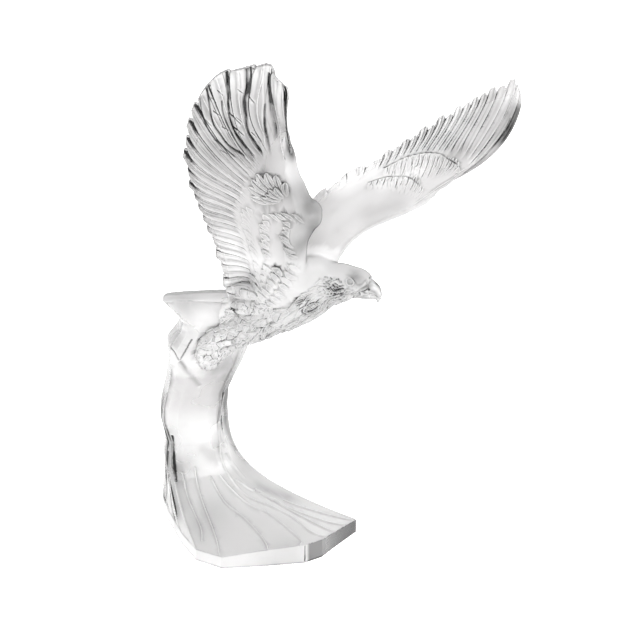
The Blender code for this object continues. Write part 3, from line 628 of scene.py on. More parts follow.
def add_flight_feathers(clay, wing, square_tips):
    """The long feathers, in one fan. The outermost, square_tips of them, are cut straight."""
    count = len(wing.edges) - 1
    share = np.sin(np.linspace(0, 1, BLADE_ROWS + 1) * math.pi / 2)
    angle = ring_angles(BLADE_SIDES)[None, :]
    across = np.cos(angle)
    swell = np.sign(np.sin(angle)) * np.abs(np.sin(angle)) ** 0.7
    thin = (1 - 0.45 * share)[:, None]
    for i in range(count):
        width = wing.edges[i + 1] - wing.edges[i]
        inner, outer = wing.edges[i] - wing.lap[0] * width, wing.edges[i + 1] + wing.lap[1] * width
        middle, half = (inner + outer) / 2, (outer - inner) / 2
        end = 1 + (wing.saw if i % 2 else -wing.saw) * (1 - i / count) + 0.008 * math.sin(2.4 * i)
        tip = SQUARE_TIP if i >= count - square_tips else ROUND_TIP
        start = float(wing.lines_start(np.clip(middle, 0, 1))) - FLIGHT_HIDDEN
        v = (start + (end - start) * share)[:, None]
        t = wing.drift(middle + half * blade_width(share, tip)[:, None] * across, v)
        out = (0.4 + 0.6 * ease(share / 0.3))[:, None]
        height = (FLIGHT_TILT * across + FLIGHT_THICKNESS / 2 * thin * swell) * out
        clay.add(wing.at(t, v) + wing.normal(t, v) * height[..., None])


def add_tail(clay):
    """A fan of flat feathers behind the body, whose ends hang over the column's back."""
    root, end, spread = np.array(TAIL_ROOT), np.array(TAIL_END), np.array(TAIL_SPREAD)
    for place in np.linspace(-1, 1, TAIL_FEATHERS):
        tip = end + spread * place + (root - end) * 0.10 * place**2
        start = root + spread * place * 0.35
        middle = (start + tip) / 2 + np.array([0, 0, 2.0])
        add_limb(clay, (start, middle, tip), TAIL_HALF_WIDTH, TAIL_HALF_HEIGHT, rows=20, sides=20)


def add_body(clay):
    add_limb(clay, BODY_LINE, BODY_HALF_WIDTH, BODY_HALF_HEIGHT, BODY_ROWS, BODY_SIDES)
    add_limb(clay, SHOULDER_LINE, SHOULDER_RADIUS, SHOULDER_RADIUS, 16, 24)
    add_limb(clay, WRIST_LINE, WRIST_RADIUS, WRIST_RADIUS, 12, 20)
    for shift in ((0, 0, 0), FAR_LEG_SHIFT):
        line = np.array(LEG_LINE) + np.array(shift)
        add_limb(clay, line, LEG_RADIUS, LEG_RADIUS, 20, 24)


def head_point(forward, side, up):
    """A place on the head, in millimetres from its middle: side is + towards the near side."""
    return np.array(HEAD_MIDDLE) + forward * HEAD_FORWARD + side * HEAD_SIDE + up * np.array([0, 0, 1.0])


def add_beak(clay):
    add_limb(clay, BEAK_LINE, BEAK_HALF_WIDTH, BEAK_HALF_HEIGHT, 24, 20)
    add_limb(clay, JAW_LINE, JAW_RADIUS, JAW_RADIUS, 10, 14)
    angle = ring_angles(16)[None, :]
    bulge = np.linspace(0.12, math.pi - 0.12, 12)[:, None]
    for side in (-1, 1):
        forward = EYE_RADIUS * np.sin(bulge) * np.cos(angle)
        up = EYE_RADIUS * np.sin(bulge) * np.sin(angle)
        outward = side * (EYE[1] + EYE_RADIUS * np.cos(bulge)) + 0 * angle
        clay.add(head_point((EYE[0] + forward)[..., None], outward[..., None], (EYE[2] + up)[..., None]))


def add_flank(clay):
    for line in FLANK_FEATHERS:
        add_limb(clay, line, FLANK_HALF_WIDTH, FLANK_HALF_HEIGHT, 14, 18)


def base_outline(corner):
    """Where the outline passes a corner number, whole or between two: plan and rim height on the plate,
    place on the column, and how deep in its flute it lies."""
    corner = np.asarray(corner, float)
    first = np.floor(corner).astype(int) % len(PLATE)
    share = (corner - np.floor(corner))[..., None]
    plate, column = np.array(PLATE, float), np.array(COLUMN, float)
    second = (first + 1) % len(PLATE)
    on_plate = plate[first] * (1 - share) + plate[second] * share
    on_column = column[first] * (1 - share) + column[second] * share
    return on_plate, on_column, np.sin(math.pi * share[..., 0])


def column_place(height, shares):
    """A place on the column's outline at a height, from its box there."""
    heights = sorted(COLUMN_BOX)
    box = [np.interp(height, heights, [COLUMN_BOX[h][side] for h in heights]) for side in range(4)]
    left, right, front, back = box
    return np.stack([left + (right - left) * shares[..., 0], front + (back - front) * shares[..., 1]], -1)


def sweep_point(corner, row):
    """A point on the concave sweep: row is 0 at the rim and 1 at the column's neck."""
    on_plate, on_column, depth = base_outline(corner)
    plate, rim = on_plate[..., :2], on_plate[..., 2]
    rise = np.asarray(row, float) ** 2.2
    height = rim + (NECK_HEIGHT - rim) * rise
    column = column_place(height, on_column)
    place = column + (plate - column) * ((1 - rise) ** SWEEP_POWER)[..., None]
    inward = unit(np.array([-50.0, 50.0]) - place)
    flute = FLUTE_DEPTH * depth * np.clip(1.5 * (1 - height / FLUTE_TOP), 0, 1) * np.clip(row * 20, 0, 1)
    return np.concatenate([place + inward * flute[..., None], height[..., None]], -1)


def add_base(clay):
    """Plate and column: each corner of the plate's outline runs in and up a concave sweep to its
    place on the column, and the strips between the corners are shallow flutes."""
    corner = np.arange(0, len(PLATE), 1 / FLUTE_STEPS)
    on_plate, on_column, _ = base_outline(corner)
    rings = [np.column_stack([on_plate[:, :2], np.zeros(len(corner))])]
    for row in np.linspace(0, 1, SWEEP_ROWS + 1):
        rings.append(sweep_point(corner, np.full(len(corner), row)))
    for height in np.linspace(NECK_HEIGHT, COLUMN_TOP, COLUMN_ROWS + 1)[1:]:
        section = column_place(height, on_column)
        slope = TOP_SLOPE * ((height - NECK_HEIGHT) / (COLUMN_TOP - NECK_HEIGHT)) ** 4
        rings.append(np.column_stack([section, height + slope * (section[:, 1] - section[:, 1].min())]))
    clay.add(rings)


def mesh_object(name, clay):
    """A mesh object in metres, with its faces turned outwards."""
    mesh = bpy.data.meshes.new(name)
    mesh.from_pydata((np.concatenate(clay.points) * MM).tolist(), [], clay.faces)
    shell = bmesh.new()
    shell.from_mesh(mesh)
    bmesh.ops.recalc_face_normals(shell, faces=shell.faces)
    shell.to_mesh(mesh)
    shell.free()
    made = bpy.data.objects.new(name, mesh)
    bpy.context.scene.collection.objects.link(made)
    return made


def applied(made):
    """The object with its modifiers made real, so that another modifier stack can start from it."""
    graph = bpy.context.evaluated_depsgraph_get()
    mesh = bpy.data.meshes.new_from_object(made.evaluated_get(graph))
    made.modifiers.clear()
    made.data = mesh
    return made


def join_meshes(made, other):
    """Adds the other object's mesh to the first one's, and removes the other."""
    both = bmesh.new()
    both.from_mesh(made.data)
    both.from_mesh(other.data)
    both.to_mesh(made.data)
    both.free()
    bpy.data.objects.remove(other)


def read(items, name, width, kind=np.float32):
    found = np.empty(len(items) * width, kind)
    items.foreach_get(name, found)
    return found.reshape(-1, width)


def read_points(mesh):
    return read(mesh.vertices, "co", 3).astype(float) / MM


def read_normals(mesh):
    return read(mesh.vertex_normals, "vector", 3).astype(float)


def read_edges(mesh):
    return read(mesh.edges, "vertices", 2, np.int32)


def write_points(mesh, points):
    mesh.vertices.foreach_set("co", (points * MM).astype(np.float32).ravel())
    mesh.update()


def keep_outer_skin(made):
    """Removes the small closed pockets that overlapping forms leave inside the cast."""
    mesh = made.data
    edges = read_edges(mesh)
    label = np.arange(len(mesh.vertices))
    while True:
        lowest = np.minimum(label[edges[:, 0]], label[edges[:, 1]])
        new = label.copy()
        np.minimum.at(new, edges[:, 0], lowest)
        np.minimum.at(new, edges[:, 1], lowest)
        np.minimum.at(new, label[edges[:, 0]], lowest)
        np.minimum.at(new, label[edges[:, 1]], lowest)
        new = new[new]
        if np.array_equal(new, label):
            break
        label = new
    names, counts = np.unique(label, return_counts=True)
    if len(names) == 1:
        return
    shell = bmesh.new()
    shell.from_mesh(mesh)
    shell.verts.ensure_lookup_table()
    inner = [shell.verts[i] for i in np.flatnonzero(label != names[counts.argmax()])]
    bmesh.ops.delete(shell, geom=inner, context="VERTS")
    shell.to_mesh(mesh)
    shell.free()


def cast(made, voxel):
    """The object's overlapping forms as one skin."""
    skin = made.modifiers.new("skin", "REMESH")
    skin.mode = "VOXEL"
    skin.voxel_size = voxel * MM
    keep_outer_skin(applied(made))


def build_flesh():
    """Body, legs and the flesh of the wings, smoothed into each other."""
    clay = Clay()
    add_body(clay)
    for wing in (NEAR_WING, FAR_WING):
        add_wing_core(clay, wing)
        add_wing_arm(clay, wing)
    flesh = mesh_object("flesh", clay)
    cast(flesh, FLESH_VOXEL)
    smooth = flesh.modifiers.new("blend", "SMOOTH")
    smooth.factor = 0.5
    smooth.iterations = FLESH_SMOOTHING
    return applied(flesh)


def build_cast():
    """The cast's skin before its fine relief, and the flesh as a tree to find places on."""
    flesh = build_flesh()
    faces = [tuple(polygon.vertices) for polygon in flesh.data.polygons]
    places = BVHTree.FromPolygons(read_points(flesh.data).tolist(), faces)
    clay = Clay()
    add_beak(clay)
    add_tail(clay)
    add_flank(clay)
    add_flight_feathers(clay, NEAR_WING, NEAR_SQUARE)
    add_flight_feathers(clay, FAR_WING, FAR_SQUARE)
    add_base(clay)
    eagle = mesh_object(NAME, clay)
    join_meshes(eagle, flesh)
    cast(eagle, SKIN_VOXEL)
    return eagle, places


def raise_to(values, index, new):
    """Raises the values at some points to new ones, where those are greater."""
    values[index] = np.maximum(values[index], new)


class Relief:
    """Heights raised from the skin of the cast, or cut into it, point by point along the normals: lift in
    mm, shade for the painted shade in a cut, and bright for the painted highlight along a ridge."""

    CELL = 6.0

    def __init__(self, mesh):
        self.points, self.normals = read_points(mesh), read_normals(mesh)
        self.lift, self.shade, self.bright = np.zeros((3, len(self.points)))
        cells = np.floor(self.points / self.CELL).astype(int)
        order = np.lexsort(cells.T)
        breaks = np.flatnonzero(np.any(np.diff(cells[order], axis=0), axis=1)) + 1
        self.cells = {tuple(cells[group[0]]): group for group in np.split(order, breaks)}

    def near(self, place, radius):
        """Indices of the points in the cells within a radius of a place."""
        low = np.floor((place - radius) / self.CELL).astype(int)
        high = np.floor((place + radius) / self.CELL).astype(int)
        keys = itertools.product(*(range(a, b + 1) for a, b in zip(low, high)))
        found = [self.cells[key] for key in keys if key in self.cells]
        return np.concatenate(found) if found else np.empty(0, int)

    def leaf(self, root, tip, normal, half_width, rise, deep=5.0, shallow=5.0, vein=0.0, rim=0.0, bow=0.0,
             point=0.5):
        """A small overlapping feather from its root to its raised tip, with a raised rim and a cut along
        its vein. It bows to one side, and its end is round if point is 0. It lies on the skin from deep
        below its own plane to shallow above it."""
        reach = np.linalg.norm(tip - root)
        forward = (tip - root) / reach
        normal = unit(normal - forward * (normal @ forward))
        side = np.cross(normal, forward)
        index = self.near((root + tip) / 2, reach / 2 + half_width + 1)
        offset = self.points[index] - root
        along, across, above = offset @ forward / reach, offset @ side, offset @ normal
        kept = (above > -deep) & (above < shallow) & (self.normals[index] @ normal > 0.15)
        kept &= (along > -0.1) & (along < 1.15) & (np.abs(across) < half_width + abs(bow) + 1)
        index, along, across = index[kept], along[kept], across[kept]
        across = across - bow * np.sin(math.pi * np.clip(along, 0, 1))
        scale = np.where(along < 0.55, 0.65, 0.45)
        end = (along - 0.55) / scale
        wide = half_width * (1 - point * np.clip(end, 0, 1))
        inside = 1 - (across / wide) ** 2 - end**2
        slope = np.hypot(2 * across / wide**2, 2 * end / (scale * reach))
        to_edge = inside / np.maximum(slope, 0.05)
        edge = ease(to_edge / 0.7 + 0.4)
        height = rise * (0.15 + 0.85 * np.clip(along, 0, 1)) * edge
        height += rim * np.exp(-(((to_edge - 0.45) / 0.45) ** 2)) * ease(along / 0.4)
        height -= vein * np.exp(-((across / 0.4) ** 2)) * ease(edge) * np.clip(along * 2, 0, 1)
        raise_to(self.lift, index, height)

    def settled(self, path, facing):
        """The skin's points nearest to a path's, on the skin that faces one way."""
        path = path.copy()
        for k, place in enumerate(path):
            index = self.near(place, 5.0)
            index = index[self.normals[index] @ facing > 0]
            if len(index):
                path[k] = self.points[index[((self.points[index] - place) ** 2).sum(-1).argmin()]]
        return path

    def line(self, path, height, width, fade=2.0, facing=None, bright=0.0):
        """A ridge along a path, or a groove if height is negative, that fades out near its ends. If the side
        it faces is given, it is laid on the skin first."""
        path = np.asarray(path, float)
        if facing is not None:
            path = self.settled(path, np.asarray(facing, float))
        steps = np.linalg.norm(np.diff(path, axis=0), axis=1)
        run = np.concatenate([[0], np.cumsum(steps)])
        places = np.linspace(0, run[-1], max(3, int(run[-1] / 0.35)))
        path = np.stack([np.interp(places, run, path[:, k]) for k in range(3)], -1)
        reach = 3 * width + 2.5
        chosen = np.unique(np.concatenate([self.near(path[k], reach) for k in range(0, len(path), 8)]))
        if not len(chosen):
            return
        points = self.points[chosen]
        nearest = np.full(len(chosen), 1e9)
        place = np.zeros(len(chosen))
        for k, spot in enumerate(path):
            away = ((points - spot) ** 2).sum(-1)
            closer = away < nearest
            nearest[closer], place[closer] = away[closer], places[k]
        shape = np.exp(-nearest / width**2)
        if fade:
            shape *= ease(place / fade) * ease((run[-1] - place) / fade)
        if facing is not None:
            shape *= self.normals[chosen] @ facing > 0
        self.lift[chosen] += height * shape
        # A ridge gets a painted highlight along its crest, a groove painted shade.
        raise_to(self.bright, chosen, bright * np.sqrt(shape))
        raise_to(self.shade, chosen, shape * min(1.0, -height))

    def pit(self, place, depth, width):
        """A round hollow."""
        index = self.near(place, 3 * width)
        away = ((self.points[index] - place) ** 2).sum(-1)
        shape = np.exp(-away / width**2)
        self.lift[index] -= depth * shape
        # Painted shade in the hollow.
        raise_to(self.shade, index, depth * shape)


def locate(wing, points):
    """Each point's t and v, its height over the wing's middle surface, how far it is from there, and
    millimetres per t and per v."""
    t, v = np.meshgrid(np.linspace(-0.05, 1.03, 240), np.linspace(-0.05, 1.06, 180), indexing="ij")
    places = wing.at(t, v).reshape(-1, 3)
    tree = KDTree(len(places))
    for k, place in enumerate(places.tolist()):
        tree.insert(place, k)
    tree.balance()
    nearest = np.array([tree.find(point)[1] for point in points.tolist()])
    t, v = t.ravel()[nearest], v.ravel()[nearest]
    step = 0.004
    for _ in range(3):
        gap = points - wing.at(t, v)
        across = (wing.at(t + step, v) - wing.at(t - step, v)) / (2 * step)
        along = (wing.at(t, v + step) - wing.at(t, v - step)) / (2 * step)
        a, b, c = (across**2).sum(-1), (across * along).sum(-1), (along**2).sum(-1)
        p, q = (gap * across).sum(-1), (gap * along).sum(-1)
        area = np.maximum(a * c - b * b, 1e-6)
        t = np.clip(t + np.clip((c * p - b * q) / area, -0.02, 0.02), -0.06, 1.05)
        v = np.clip(v + np.clip((a * q - b * p) / area, -0.02, 0.02), -0.08, 1.08)
    gap = points - wing.at(t, v)
    height, away = (gap * wing.normal(t, v)).sum(-1), np.linalg.norm(gap, axis=-1)
    return t, v, height, away, np.sqrt(a), np.sqrt(c)


def feather_number(wing, t, v, side):
    """Which flight feather a point lies on, as a number whose fraction runs across the feather."""
    number = np.interp(wing.undrift(t, v), wing.edges, np.arange(len(wing.edges)))
    shift = wing.lap[0] if wing.lap[0] else -wing.lap[1]
    return number + np.where(side * wing.seen > 0, 0.0, shift)


class WingSkin:
    """The points of the skin that lie on one wing, with their places in the wing's own coordinates."""

    def __init__(self, relief, wing):
        self.relief, self.wing = relief, wing
        low = wing.at(np.linspace(0, 1, 30)[:, None], np.linspace(0, 1, 30)[None, :]).reshape(-1, 3)
        inside = ((relief.points > low.min(0) - 6) & (relief.points < low.max(0) + 6)).all(-1)
        index = np.flatnonzero(inside)
        t, v, height, away, per_t, per_v = locate(wing, relief.points[index])
        kept = (away < 9) & (v > 0.0) & (t > -0.02)
        self.index, self.t, self.v, self.side = index[kept], t[kept], v[kept], np.sign(height[kept])
        self.per_t, self.per_v = per_t[kept], per_v[kept]
        self.tip_t = wing.undrift(self.t, self.v)
        self.seen = self.side * wing.seen > 0
        self.flat = np.clip(np.abs(relief.normals[self.index] @ unit(wing.hollow)) * 2, 0, 1)
        start = wing.lines_start(np.clip(self.t, 0, 1))
        self.strength = ease((self.v - start) / 0.10) * np.where(self.seen, 1.0, 0.75)
        self.strength *= ease((1.03 - self.t) / 0.03) * ease((self.t + 0.02) / 0.03)

    def carve(self, shape, height):
        self.relief.lift[self.index] += height * shape * self.flat
        # Painted shade in the cut.
        raise_to(self.relief.shade, self.index, shape * min(FEATHER_SHADE, -height) * self.flat)

    def stroke(self, path, height, width, end_width=None, fade=2.5, shift=0.0):
        """A ridge or groove on the seen side, along points given as t and v, shifted sideways in mm."""
        path = Curve(path, even=True)(np.linspace(0, 1, 24)) if len(path) > 2 else np.array(path, float)
        near = (self.t > path[:, 0].min() - 0.04) & (self.t < path[:, 0].max() + 0.04) & self.seen
        near &= (self.v > path[:, 1].min() - 0.05) & (self.v < path[:, 1].max() + 0.05)
        here = np.flatnonzero(near)
        x, y = self.t[here] * self.per_t[here] - shift, self.v[here] * self.per_v[here]
        nearest, run, total = np.full(len(here), 1e9), np.zeros(len(here)), 0.0
        for (t0, v0), (t1, v1) in zip(path[:-1], path[1:]):
            ax, ay = t0 * self.per_t[here], v0 * self.per_v[here]
            bx, by = t1 * self.per_t[here] - ax, v1 * self.per_v[here] - ay
            reach = np.maximum(np.hypot(bx, by), 1e-6)
            along = np.clip(((x - ax) * bx + (y - ay) * by) / reach**2, 0, 1)
            away = np.hypot(x - ax - along * bx, y - ay - along * by)
            closer = away < nearest
            nearest[closer], run[closer] = away[closer], (total + along * reach)[closer]
            total = total + reach
        shape = np.zeros(len(self.v))
        starts = 1.0 if path[0, 1] > 0.97 else ease(run / fade)
        width = width + ((end_width or width) - width) * run / np.maximum(total, 1e-6)
        shape[here] = np.exp(-((nearest / width) ** 2)) * starts * ease((total - run) / (3 * fade))
        self.carve(shape, height)


def carve_flight_feathers(skin):
    """Quills, and the grooves between the flight feathers, with painted shade in the grooves and in the
    notches between the feathers' tips.
    """
    wing = skin.wing
    number = feather_number(wing, skin.t, skin.v, skin.side)
    part = number - np.floor(number)
    whole = np.clip(np.floor(number), 0, len(wing.edges) - 2).astype(int)
    width = (wing.edges[whole + 1] - wing.edges[whole]) * skin.per_t
    to_quill, to_edge = np.abs(part - 0.5) * width, np.minimum(part, 1 - part) * width
    strength = skin.strength * wing.depth(np.clip(skin.tip_t, 0, 1))
    skin.carve(strength * np.exp(-((to_quill / QUILL_WIDTH) ** 2)), wing.quill)
    deeper = 0.7 + 1.1 * ease((skin.v - 0.6) / 0.35)
    skin.carve(strength * deeper * np.exp(-((to_edge / SEAM_WIDTH) ** 2)), -SEAM_DEPTH)
    # Notches of painted shade between the feathers' tips.
    reach = NOTCH_WIDTHS[0] + NOTCH_WIDTHS[1] * ease((skin.v - 0.84) / 0.16)
    notch = np.exp(-((to_edge / reach) ** 2)) * wing.notch_dark * strength * ease((skin.v - 0.78) / 0.18)
    notch *= ease((skin.tip_t - NOTCHED[0]) / 0.15) * ease((NOTCHED[1] - skin.tip_t) / 0.06)
    raise_to(skin.relief.shade, skin.index, notch)
    return number


def carve_broad_feathers(skin):
    """The flutes and swellings of the near wing's outermost feathers, and the cuts in their vanes."""
    for path, height, outer, inner in NEAR_FLUTES:
        skin.stroke(path, height, outer, inner)
    for start, end, depth, width in NEAR_NICKS:
        skin.stroke((start, end), -depth, width, 0.3 * width, fade=0.8)


def carve_fans(skin):
    """Long narrow coverts, as a cut and a thin ridge beside each other for every feather."""
    noise = np.random.default_rng(12)
    for first, last, count, tips, roots in FAR_FANS:
        for place in np.linspace(0, 1, count):
            t = first + (last - first) * place + noise.uniform(-0.006, 0.006)
            tip, root = float(Table(tips)(place)), float(Table(roots)(place))
            middle = (t - 0.004, (tip + root) / 2)
            root += noise.uniform(-0.3, 0.5) * (tip - root)
            path = ((t, tip), middle, (t - noise.uniform(0.012, 0.022), root))
            skin.stroke(path, -noise.uniform(0.3, 1.0), 0.36, fade=1.0)
            skin.stroke(path, 0.5, 0.5, shift=1.1, fade=1.0)


def wing_leaf(relief, wing, side, root, tip, half_width, rise, bow=0.0, point=0.5, vein=0.0):
    """A covert on one side of a wing, from its root's t and v to its tip's."""
    start, end = wing.at(*root), wing.at(*tip)
    normal = wing.normal((root[0] + tip[0]) / 2, (root[1] + tip[1]) / 2) * side
    relief.leaf(start, end, normal, half_width, rise, deep=1.0, shallow=14.0, vein=vein, rim=0.3 * rise,
                bow=bow, point=point)


def carve_coverts(relief, wing, side, rows, share=1.0):
    """Rows of coverts, no two quite alike. Each row: from and to t, how many, the tips' v and the roots' v
    from end to end, the drift in t from root to tip, half width in mm, and how high their tips stand."""
    noise = np.random.default_rng(2)
    for first, last, count, tips, roots, drift, half_width, rise in rows:
        for place in np.linspace(0, 1, count):
            t = first + (last - first) * place + noise.uniform(-0.004, 0.004)
            tip = (t, float(Table(tips)(place)) + noise.uniform(-0.012, 0.012))
            root = (t - drift, float(Table(roots)(place)))
            wing_leaf(relief, wing, side, root, tip, half_width * noise.uniform(0.9, 1.1),
                      rise * share * noise.uniform(0.5, 1.2), noise.uniform(-0.5, 0.5) * half_width)


def carve_tuft(relief, wing, side):
    """Curling feathers that fan out from one spot of the wing."""
    for tip, half_width, rise, bow in TUFT:
        root = [0.62 * start + 0.38 * end for start, end in zip(TUFT_ROOT, tip)]
        wing_leaf(relief, wing, side, root, tip, 1.5 * half_width, 0.75 * rise, bow, point=0.0, vein=0.6)


def body_hit(skin, middle, forward, side, up, angle):
    """Where a ray from outside, at an angle round the body's middle line, meets the flesh."""
    out = side * math.cos(angle) + up * math.sin(angle)
    place, normal, _, _ = skin.ray_cast(Vector(middle + out * 60), Vector(-out), 60)
    return (None, None) if place is None else (np.array(place), np.array(normal))


def carve_feather(relief, place, normal, flow, half, wide, rise, rim, bow):
    """A small feather in the middle of a place on the flesh, that lies along flow."""
    flow = unit(flow - normal * (flow @ normal))
    relief.leaf(place - flow * half, place + flow * half, normal, wide, rise, rim=rim * rise, bow=bow * wide)


def carve_body_feathers(relief, skin):
    """Rows of feathers that overlap from the head back over throat, breast and flank: chiselled and unruly
    on the cheek, long and sleek on the breast. The crown and the nape are smooth."""
    noise = np.random.default_rng(4)
    share, row = 0.91, 0
    while share > 0.08:
        size = {name: float(Table(values)(share)) for name, values in BODY_FEATHERS.items()}
        middle, forward, side, up = (part[0] for part in limb_frame(BODY_LINE, np.array([share])))
        radius = float(Table(BODY_HALF_WIDTH)(share))
        step = 2.0 * size["half_width"] / radius
        for near in (-1, 1):
            angle = size["low"] + (step / 2 if row % 2 else 0)
            while angle < size["top"]:
                turn = angle + noise.uniform(-0.4, 0.4) * size["unruly"] * step
                place, normal = body_hit(skin, middle, forward, near * -side, up, turn)
                if place is not None:
                    flow = -forward + size["unruly"] * noise.uniform(-1, 1) * np.cross(normal, forward)
                    half = size["length"] * noise.uniform(0.8, 1.2) / 2
                    rise = size["rise"] * noise.uniform(0.3, 1.3)
                    wide = size["half_width"] * noise.uniform(0.8, 1.2)
                    bow = noise.uniform(-0.9, 0.9)
                    carve_feather(relief, place, normal, flow, half, wide, rise, 0.45, bow)
                angle += step
        share -= 0.62 * size["length"] / 125
        row += 1


def carve_oval(relief):
    """The oval feather, with its raised double rim, and the short feathers above it."""
    middle, long, short = (np.array(part) for part in (OVAL_MIDDLE, OVAL_LONG, OVAL_SHORT))
    for size, height, start, end in ((1.0, 0.7, 0, 6.3), (1.2, -1.0, 2.4, 5.2), (1.2, -0.6, 0.4, 1.6),
                                     (0.72, -0.6, 3.4, 5.9), (0.72, -0.4, 1.0, 2.0)):
        turn = np.linspace(start, end, 40)[:, None]
        ring = middle + size * (long * np.cos(turn) + short * np.sin(turn))
        relief.line(ring, height, 0.42, 0.8, (0, -1, 0))
    for shift in (-0.25, 0.25):
        stroke = np.linspace(-0.55, 0.45, 12)[:, None]
        relief.line(middle + long * stroke + short * (shift + 0.3 * stroke), 0.5, 0.4, 0.8, (0, -1, 0))
    for root, tip in TEETH:
        relief.line(Curve((root, tip))(np.linspace(0, 1, 12)), 0.9, 0.6, 1.0, (0, -1, 0))
        below = np.array([0, 0, -0.9])
        relief.line(Curve((root, tip))(np.linspace(0, 1, 12)) + below, -0.9, 0.45, 1.0, (0, -1, 0))


def carve_leg_feathers(relief, skin):
    """Chiselled scales on thighs and shanks, at odd angles to each other."""
    noise = np.random.default_rng(9)
    for shift in ((0, 0, 0), FAR_LEG_SHIFT):
        line = np.array(LEG_LINE) + np.array(shift)
        near = -1 if shift[1] else 1
        for share in np.linspace(0.0, 0.94, 15):
            middle, forward, side, up = (part[0] for part in limb_frame(line, np.array([share])))
            size = float(np.interp(share, np.linspace(0, 1, len(LEG_RADIUS)), LEG_RADIUS))
            for angle in np.arange(-1.5, 1.5, 4.6 / size):
                turn = angle + noise.uniform(-0.12, 0.12)
                place, normal = body_hit(skin, middle, forward, near * side, up, turn)
                if place is None or np.linalg.norm(place - middle) > size + 7:
                    continue
                flow = forward + noise.uniform(-0.9, 0.9) * np.cross(normal, forward)
                half, wide = noise.uniform(5.0, 9.0) / 2, noise.uniform(1.6, 2.6)
                rise, bow = noise.uniform(0.5, 1.7), noise.uniform(-0.7, 0.7)
                carve_feather(relief, place, normal, flow, half, wide, rise, 0.3, bow)


def carve_head(relief):
    """Cheek, brow, ring round the eye, edge of the beak, mouth and nostril, on both sides of the head."""
    share = np.linspace(0, 1, 60)
    noise = np.random.default_rng(6)
    for side in (-1, 1):
        for _ in range(CHEEK_CUTS):
            forward, up = noise.uniform(*CHEEK_FORWARD), noise.uniform(*CHEEK_UP)
            angle, reach = noise.uniform(-0.9, 0.5), noise.uniform(0.8, 2.4)
            run, climb = reach * math.cos(angle), reach * math.sin(angle)
            path = [head_point(forward + k * run, side * 11, up + k * climb + noise.uniform(-0.5, 0.5))
                    for k in (-1, 0, 1)]
            height = noise.choice((-1.0, -0.6, 0.8, 1.0))
            relief.line(Curve(path)(np.linspace(0, 1, 9)), height, noise.uniform(0.4, 0.65), fade=0.8,
                        facing=HEAD_SIDE * side)
        for path, height, width in HEAD_LINES:
            places = Curve([head_point(f, side * s, u) for f, s, u in path])(share)
            # Raised lines get a painted highlight along them, cut ones painted shade.
            relief.line(places, height, width, facing=HEAD_SIDE * side, bright=min(max(height, 0.0), 1.0))
        middle = head_point(EYE[0], side * (EYE[1] + EYE_RADIUS), EYE[2])
        relief.pit(middle, 0.3, 1.0)
        nostril = head_point(NOSTRIL[0], side * NOSTRIL[1], NOSTRIL[2])
        relief.pit(relief.settled(nostril[None], HEAD_SIDE * side)[0], 1.0, 0.7)


def carve_base(relief):
    """Thin ridges that run down the sweep and fan out over the plate, wavy flutes on the column's left
    side, the facet like a leaf at its top, and the soft waves in its front."""
    share = np.linspace(0, 1, 60)
    for ridge in RIDGES:
        corner, row = Curve(ridge)(share).T
        path = sweep_point(corner, np.clip(row, 0, 1))
        relief.line(path, RIDGE_HEIGHT, RIDGE_WIDTH, fade=1.5)
    corner = np.linspace(0, len(PLATE), 400)
    outline = sweep_point(corner, np.zeros(len(corner)))
    for height in (outline[:, 2], np.full(len(corner), 0.8)):
        relief.line(np.column_stack([outline[:, :2], height]), -0.4, 0.4, fade=0)
    for corner in SIDE_FLUTES:
        row = np.linspace(0.04, 1, 80)
        path = sweep_point(corner + 0.10 * np.sin(14 * row + corner), row)
        relief.line(path, -0.9, 0.9, fade=12.0)
    for path, height, width in BASE_LINES:
        corners = np.linspace(0, 1, len(path))
        places = np.stack([np.interp(np.linspace(0, 1, 31), corners, axis) for axis in np.array(path).T], -1)
        relief.line(places, height, width, fade=1.0, facing=(0, -1, 0))
    edge = [sweep_point(RIGHT_EDGE, row) for row in np.linspace(0.55, 1, 30)]
    on_column = base_outline(RIGHT_EDGE)[1]
    edge += [np.append(column_place(height, on_column), height) for height in np.linspace(106, 160, 20)]
    relief.line(edge, 1.0, 0.9)
    front = relief.normals[:, 1] < -0.5
    height = relief.points[:, 2]
    front &= (height > 45) & (height < 176) & (relief.points[:, 1] > 6) & (relief.points[:, 0] < -12)
    index = np.flatnonzero(front)
    x, z = relief.points[index, 0], relief.points[index, 2]
    wave = np.sin(z / 6.5 + 0.9 * np.sin(x / 11)) * 0.35 + np.sin(z / 11 - x / 14 + 1) * 0.5
    relief.lift[index] += wave * ease((z - 45) / 20) * ease((176 - z) / 12)


def distance_to(points, path):
    """Each point's distance to a line through a few places."""
    path = np.array(path, float)
    nearest = ((points - path[0]) ** 2).sum(-1)
    for start, end in zip(path[:-1], path[1:]):
        span = end - start
        along = np.clip((points - start) @ span / (span @ span), 0, 1)
        nearest = np.minimum(nearest, ((points - start - along[:, None] * span) ** 2).sum(-1))
    return np.sqrt(nearest)


def neighbour_mean(values, edges, degree):
    total = [
        np.bincount(edges[:, 0], values[edges[:, 1], k], len(values))
        + np.bincount(edges[:, 1], values[edges[:, 0], k], len(values))
        for k in range(values.shape[1])
    ]
    return np.stack(total, -1) / degree[:, None]


def hollows(mesh):
    """How far each point lies in a hollow, in mm: narrow creases first, then broad ones."""
    points, normals, edges = read_points(mesh), read_normals(mesh), read_edges(mesh)
    degree = np.maximum(np.bincount(edges.ravel(), minlength=len(points)), 1).astype(float)
    found = []
    smooth = points
    for rounds in (2, 14):
        for _ in range(rounds):
            smooth = smooth * 0.3 + neighbour_mean(smooth, edges, degree) * 0.7
        found.append(((smooth - points) * normals).sum(-1))
    return found


def add_marks(mesh, marks):
    for name, values in marks.items():
        mesh.attributes.new(name, "FLOAT", "POINT").data.foreach_set("value", values.astype(np.float32))


